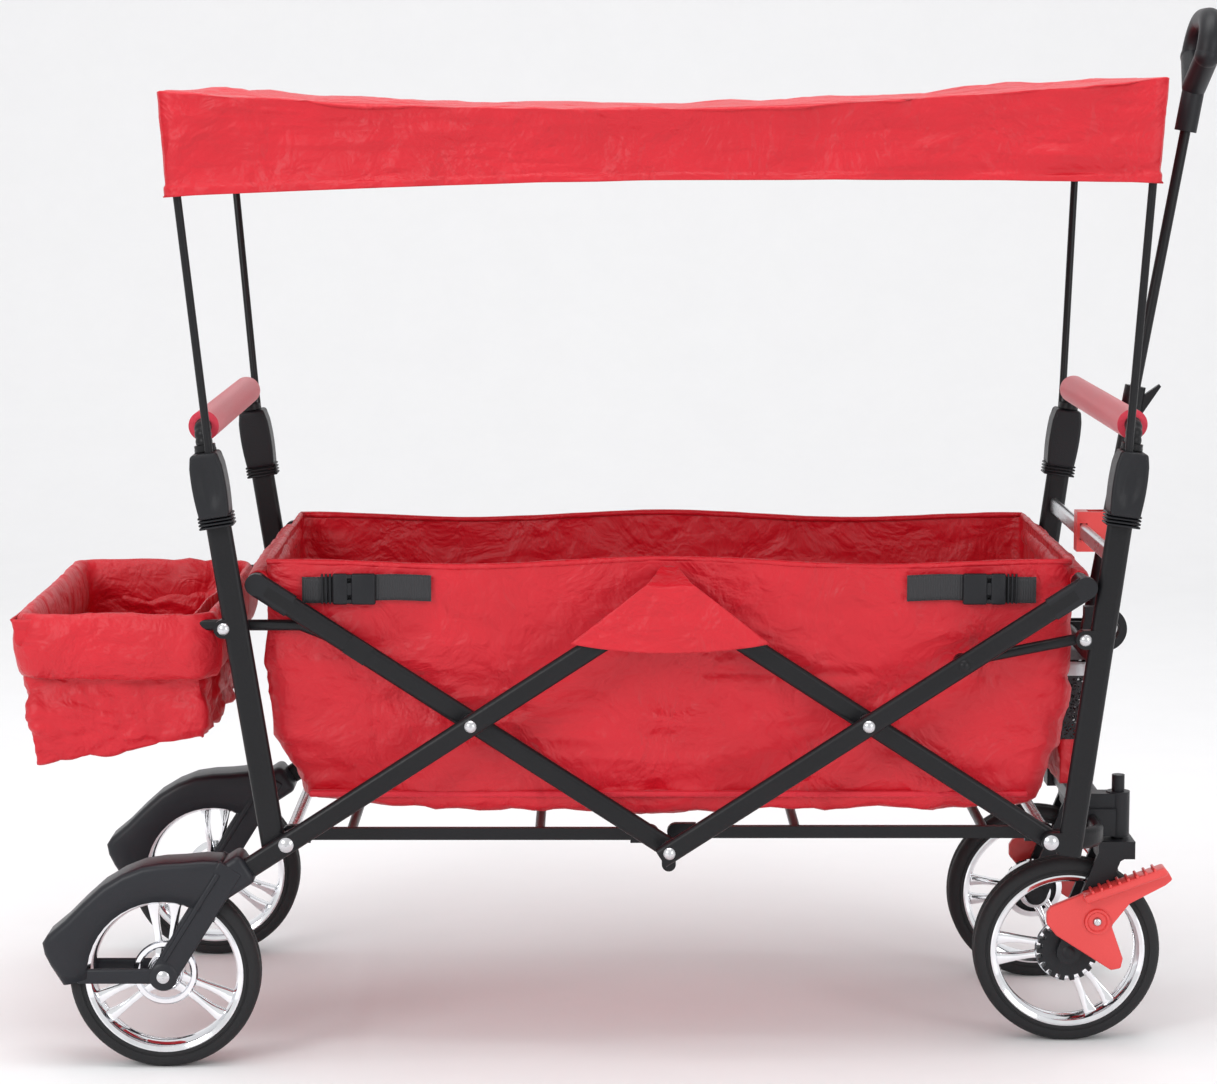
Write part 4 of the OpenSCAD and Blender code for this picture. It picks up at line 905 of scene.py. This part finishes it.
# %% Four wheels
for axle, side, first_angle, hub_out in (("rear", NEAR, 90, 16), ("rear", FAR, 90, 16),
                                         ("front", NEAR, 180, 8), ("front", FAR, 180, 8)):
    where = "near" if side < 0 else "far"
    tag = axle + "_" + where
    centre = joint_point(f"{axle}_wheel_spin_{where}")
    for piece, node in ((make_tyre(tag, centre), f"{axle}_tyre_{where}"),
                        (make_rim(tag, centre, side, first_angle, hub_out), f"{axle}_rim_{where}")):
        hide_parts(node)
        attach(piece, f"{axle}_wheel_{where}")

# %% [markdown]
# ## Mudguards
# Each rear fork is moulded in one with its mudguard: a thin shell over the wheel, a leg from the hub
# to the frame and a stay behind. A flat outline is pulled out to the guard's width, the side towards
# the tyre is opened, the long edges are rounded, and a wall thickness is added.

# %% Outline to prism
def prism(edit, outline, y0, y1):
    """Pulls a flat outline of (x, z) points from y0 to y1. Returns the new vertices."""
    verts = [edit.verts.new((x, y0, z)) for x, z in outline]
    face = edit.faces.new(verts)
    pulled = bmesh.ops.extrude_face_region(edit, geom=[face])["geom"]
    top = [g for g in pulled if isinstance(g, bmesh.types.BMVert)]
    bmesh.ops.translate(edit, vec=(0, y1 - y0, 0), verts=top)
    bmesh.ops.recalc_face_normals(edit, faces=edit.faces[:])
    return verts + top


def arc(radius, start, end, steps):
    return [(radius * math.cos(math.radians(a)), radius * math.sin(math.radians(a)))
            for a in (start + (end - start) * i / steps for i in range(steps + 1))]


# %% Mudguard shell
GUARD_TOP = [(62, 116), (40, 117), (20, 115), (0, 114), (-20, 111), (-40, 103), (-60, 91), (-79, 74),
             (-97, 56), (-115, 41), (-120, 33), (-118, 22), (-112, 10), (-100, -9), (-91, -7)]
GUARD_HALF = 26 * MM


def guard_outline():
    inner = [(-76, -2)] + arc(76, 172, 56, 14)
    return [(x * MM, z * MM) for x, z in GUARD_TOP + inner]


def make_guard(side):
    where = "near" if side < 0 else "far"
    hub = joint_point(f"rear_wheel_spin_{where}")
    guard = bmesh.new()
    outline = guard_outline()
    prism(guard, outline, -GUARD_HALF, GUARD_HALF)
    inside = [f for f in guard.faces if abs(f.normal.y) < 0.5
              and Vector((f.calc_center_median().x, 0, f.calc_center_median().z)).length < 79 * MM]
    ends = [f for f in guard.faces if abs(f.normal.y) < 0.5 and f not in inside
            and f.calc_center_median().z < 2 * MM and f.calc_center_median().x > -100 * MM]
    bmesh.ops.delete(guard, geom=inside + ends, context="FACES")
    rim_edges = [e for e in guard.edges if e.is_manifold and e.calc_face_angle(0) > 1.0]
    bmesh.ops.bevel(guard, geom=rim_edges, offset=7 * MM, offset_type="OFFSET", affect="EDGES",
                    segments=4, profile=0.5, material=-1)
    bmesh.ops.triangulate(guard, faces=[f for f in guard.faces if len(f.verts) > 4])
    guard.transform(Matrix.Translation(hub))
    shell = new_piece("mudguard_" + where, guard)
    shell.data.set_sharp_from_angle(angle=math.radians(50))
    thicken(shell, 3 * MM)
    shell.data.materials.append(guard_plastic.material)
    return shell, hub


# %% Fork legs and stays
def make_fork(side, hub):
    where = "near" if side < 0 else "far"
    fork = bmesh.new()
    for cheek in (-1, 1):
        y = cheek * (22.5 * MM)
        leg = Matrix.Rotation(-math.radians(58), 4, "Y")
        block(fork, (33 * MM, y, 54 * MM), (132 * MM, 6.5 * MM, 27 * MM), 2.5 * MM, turn=leg)
        block(fork, (28 * MM, y + cheek * 2 * MM, 60 * MM), (104 * MM, 6 * MM, 6 * MM), 2 * MM, turn=leg)
        block(fork, (-44 * MM, y, 0), (84 * MM, 6 * MM, 15 * MM), 2.4 * MM)
        spin_section(fork, mm_section([(6.2, cheek * 19.2), (14, cheek * 19.2), (14, cheek * 26),
                                       (12, cheek * 27.5), (6.2, cheek * 27.5)]), Vector((0, 0, 0)), 40)
    crown = Matrix.Rotation(-math.radians(33), 4, "Y")
    block(fork, (63 * MM, 0, 96 * MM), (52 * MM, 49 * MM, 33 * MM), 7 * MM, 4, turn=crown)
    fork.transform(Matrix.Translation(hub))
    piece = new_piece("rear_fork_" + where, fork)
    piece.data.set_sharp_from_angle(angle=math.radians(40))
    piece.data.materials.append(guard_plastic.material)
    return piece


for side in (NEAR, FAR):
    shell, hub = make_guard(side)
    fork = make_fork(side, hub)
    for piece in (shell, fork):
        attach(piece, "rear_legs")
    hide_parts("rear_forks")

# %% [markdown]
# ## Brake pedals
# The pedal is one moulding: a ribbed foot plate, a round boss at its pivot and a tail that drops
# into the toothed ring. Its outline is pulled to depth and rounded, and thin blocks make the ribs.

# %% Pedals
PEDAL_OUTLINE = [(-24, 44), (-20, 50), (14, 64), (88, 91), (98, 87), (103, 78), (96, 72), (60, 53),
                 (42, 30), (54, -4), (52, -14), (42, -16), (14, 2), (-14, 20), (-24, 32)]


def make_pedal(side):
    where = "near" if side < 0 else "far"
    hub = joint_point(f"front_wheel_spin_{where}")
    pedal = bmesh.new()
    low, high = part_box(f"brake_pedal_{where}")
    outer = low.y if side < 0 else high.y
    face = outer - side * 6 * MM - hub.y
    prism(pedal, [(x * MM, z * MM) for x, z in PEDAL_OUTLINE], face, face + side * 9 * MM)
    round_edges(pedal, 1.8 * MM, 3)
    bmesh.ops.triangulate(pedal, faces=[f for f in pedal.faces if len(f.verts) > 4])
    slope = Matrix.Rotation(-math.atan2(27, 74), 4, "Y")
    block(pedal, (54 * MM, face + side * 9 * MM, 74 * MM), (88 * MM, 26 * MM, 9 * MM), 3 * MM, turn=slope)
    for i in range(8):
        t = (i - 3.5) * 9.5 * MM
        centre = slope @ Vector((t, 0, 6 * MM)) + Vector((54 * MM, face + side * 9 * MM, 73 * MM))
        block(pedal, centre, (3 * MM, 24 * MM, 4 * MM), 1.2 * MM, 2, turn=slope)
    pivot = Vector((27 * MM, 0, 35 * MM))
    boss = [(0.01, 2), (4.5, 2), (4.5, 10.4), (9, 10.4), (10.5, 12.5), (12.5, 12.5), (13.5, 9), (13.5, 2)]
    spin_section(pedal, [(r * MM, face + side * y * MM) for r, y in boss], pivot, 40)
    pedal.transform(Matrix.Translation(hub))
    piece = finish_turned("pedal_" + where, pedal, red_plastic)
    piece.data.set_sharp_from_angle(angle=math.radians(40))
    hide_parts(f"brake_pedal_{where}")
    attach(piece, f"pedal_{where}")
    screw = bmesh.new()
    spin_section(screw, [(r * MM, face + side * y * MM) for r, y in
                         [(0.01, 4), (4.2, 4), (4.2, 12), (3.2, 13.2), (0.01, 13.6)]], pivot, 24)
    screw.transform(Matrix.Translation(hub))
    head = finish_turned("pedal_screw_" + where, screw, steel)
    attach(head, f"pedal_{where}")


for side in (NEAR, FAR):
    make_pedal(side)

# %% [markdown]
# ## Post clamps
# Each post ends in a barrel-shaped clamp that holds the push bar and the canopy rod. It is a rounded
# block that swells in the middle, with a long shallow dish on its outer face and a ribbed collar.

# %% Clamps
CLAMP_LEN = 64 * MM
CLAMP_FROM = 330 * MM


def post_matrix(end, tag):
    """Stands on the post's own axis: z along the post, from the level of its lower pivot."""
    foot = joint_point(f"{tag}_post_fold")
    axis = Vector(joints[f"{tag}_push_slide"]["axis"])
    shift = (14 if tag == "rear" else 20) * MM
    tilt = math.atan2(axis.x, axis.z)
    return Matrix.Translation((foot.x + end * shift, 0, foot.z)) @ Matrix.Rotation(tilt, 4, "Y")


def make_clamp(tag, end, side):
    where = "near" if side < 0 else "far"
    low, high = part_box(f"{tag}_post_clamps")
    inner, outer = 220.5 * MM, high.y + 1 * MM
    clamp = bmesh.new()
    made = bmesh.ops.create_cube(clamp, size=1.0)["verts"]
    bmesh.ops.subdivide_edges(clamp, edges=clamp.edges[:], cuts=9, use_grid_fill=True)
    for v in clamp.verts:
        t = v.co.z + 0.5
        swell = 1 + 0.13 * math.sin(math.pi * t) - 0.10 * ease((t - 0.8) / 0.2)
        lens = 1 - ((v.co.x / 0.30) ** 2 + ((t - 0.52) / 0.36) ** 2)
        dish = 3.2 * MM * ease(lens * 2.2) if v.co.y > 0.49 else 0
        v.co = Vector((v.co.x * 30 * MM * swell, inner + (v.co.y + 0.5) * (outer - inner) - dish,
                       CLAMP_FROM + t * CLAMP_LEN))
    edges = [e for e in clamp.edges if e.calc_face_angle(0) > 1.0]
    bmesh.ops.bevel(clamp, geom=edges, offset=3 * MM, offset_type="OFFSET", affect="EDGES",
                    segments=3, profile=0.5, material=-1)
    for i in range(4):
        block(clamp, (0, (inner + outer) / 2 - 1 * MM, CLAMP_FROM - 9 * MM + i * 3.4 * MM),
              (34 * MM, 31 * MM, 2.2 * MM), 1 * MM, 2)
    if side < 0:
        bmesh.ops.scale(clamp, vec=(1, -1, 1), verts=clamp.verts)
        bmesh.ops.reverse_faces(clamp, faces=clamp.faces)
    clamp.transform(post_matrix(end, tag))
    piece = new_piece(f"{tag}_clamp_{where}", clamp)
    piece.data.set_sharp_from_angle(angle=math.radians(50))
    piece.data.materials.append(black_plastic.material)
    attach(piece, f"{tag}_posts")
    return piece


for tag, end in (("rear", -1), ("front", 1)):
    clamps = [make_clamp(tag, end, side) for side in (NEAR, FAR)]
    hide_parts(f"{tag}_post_clamps")
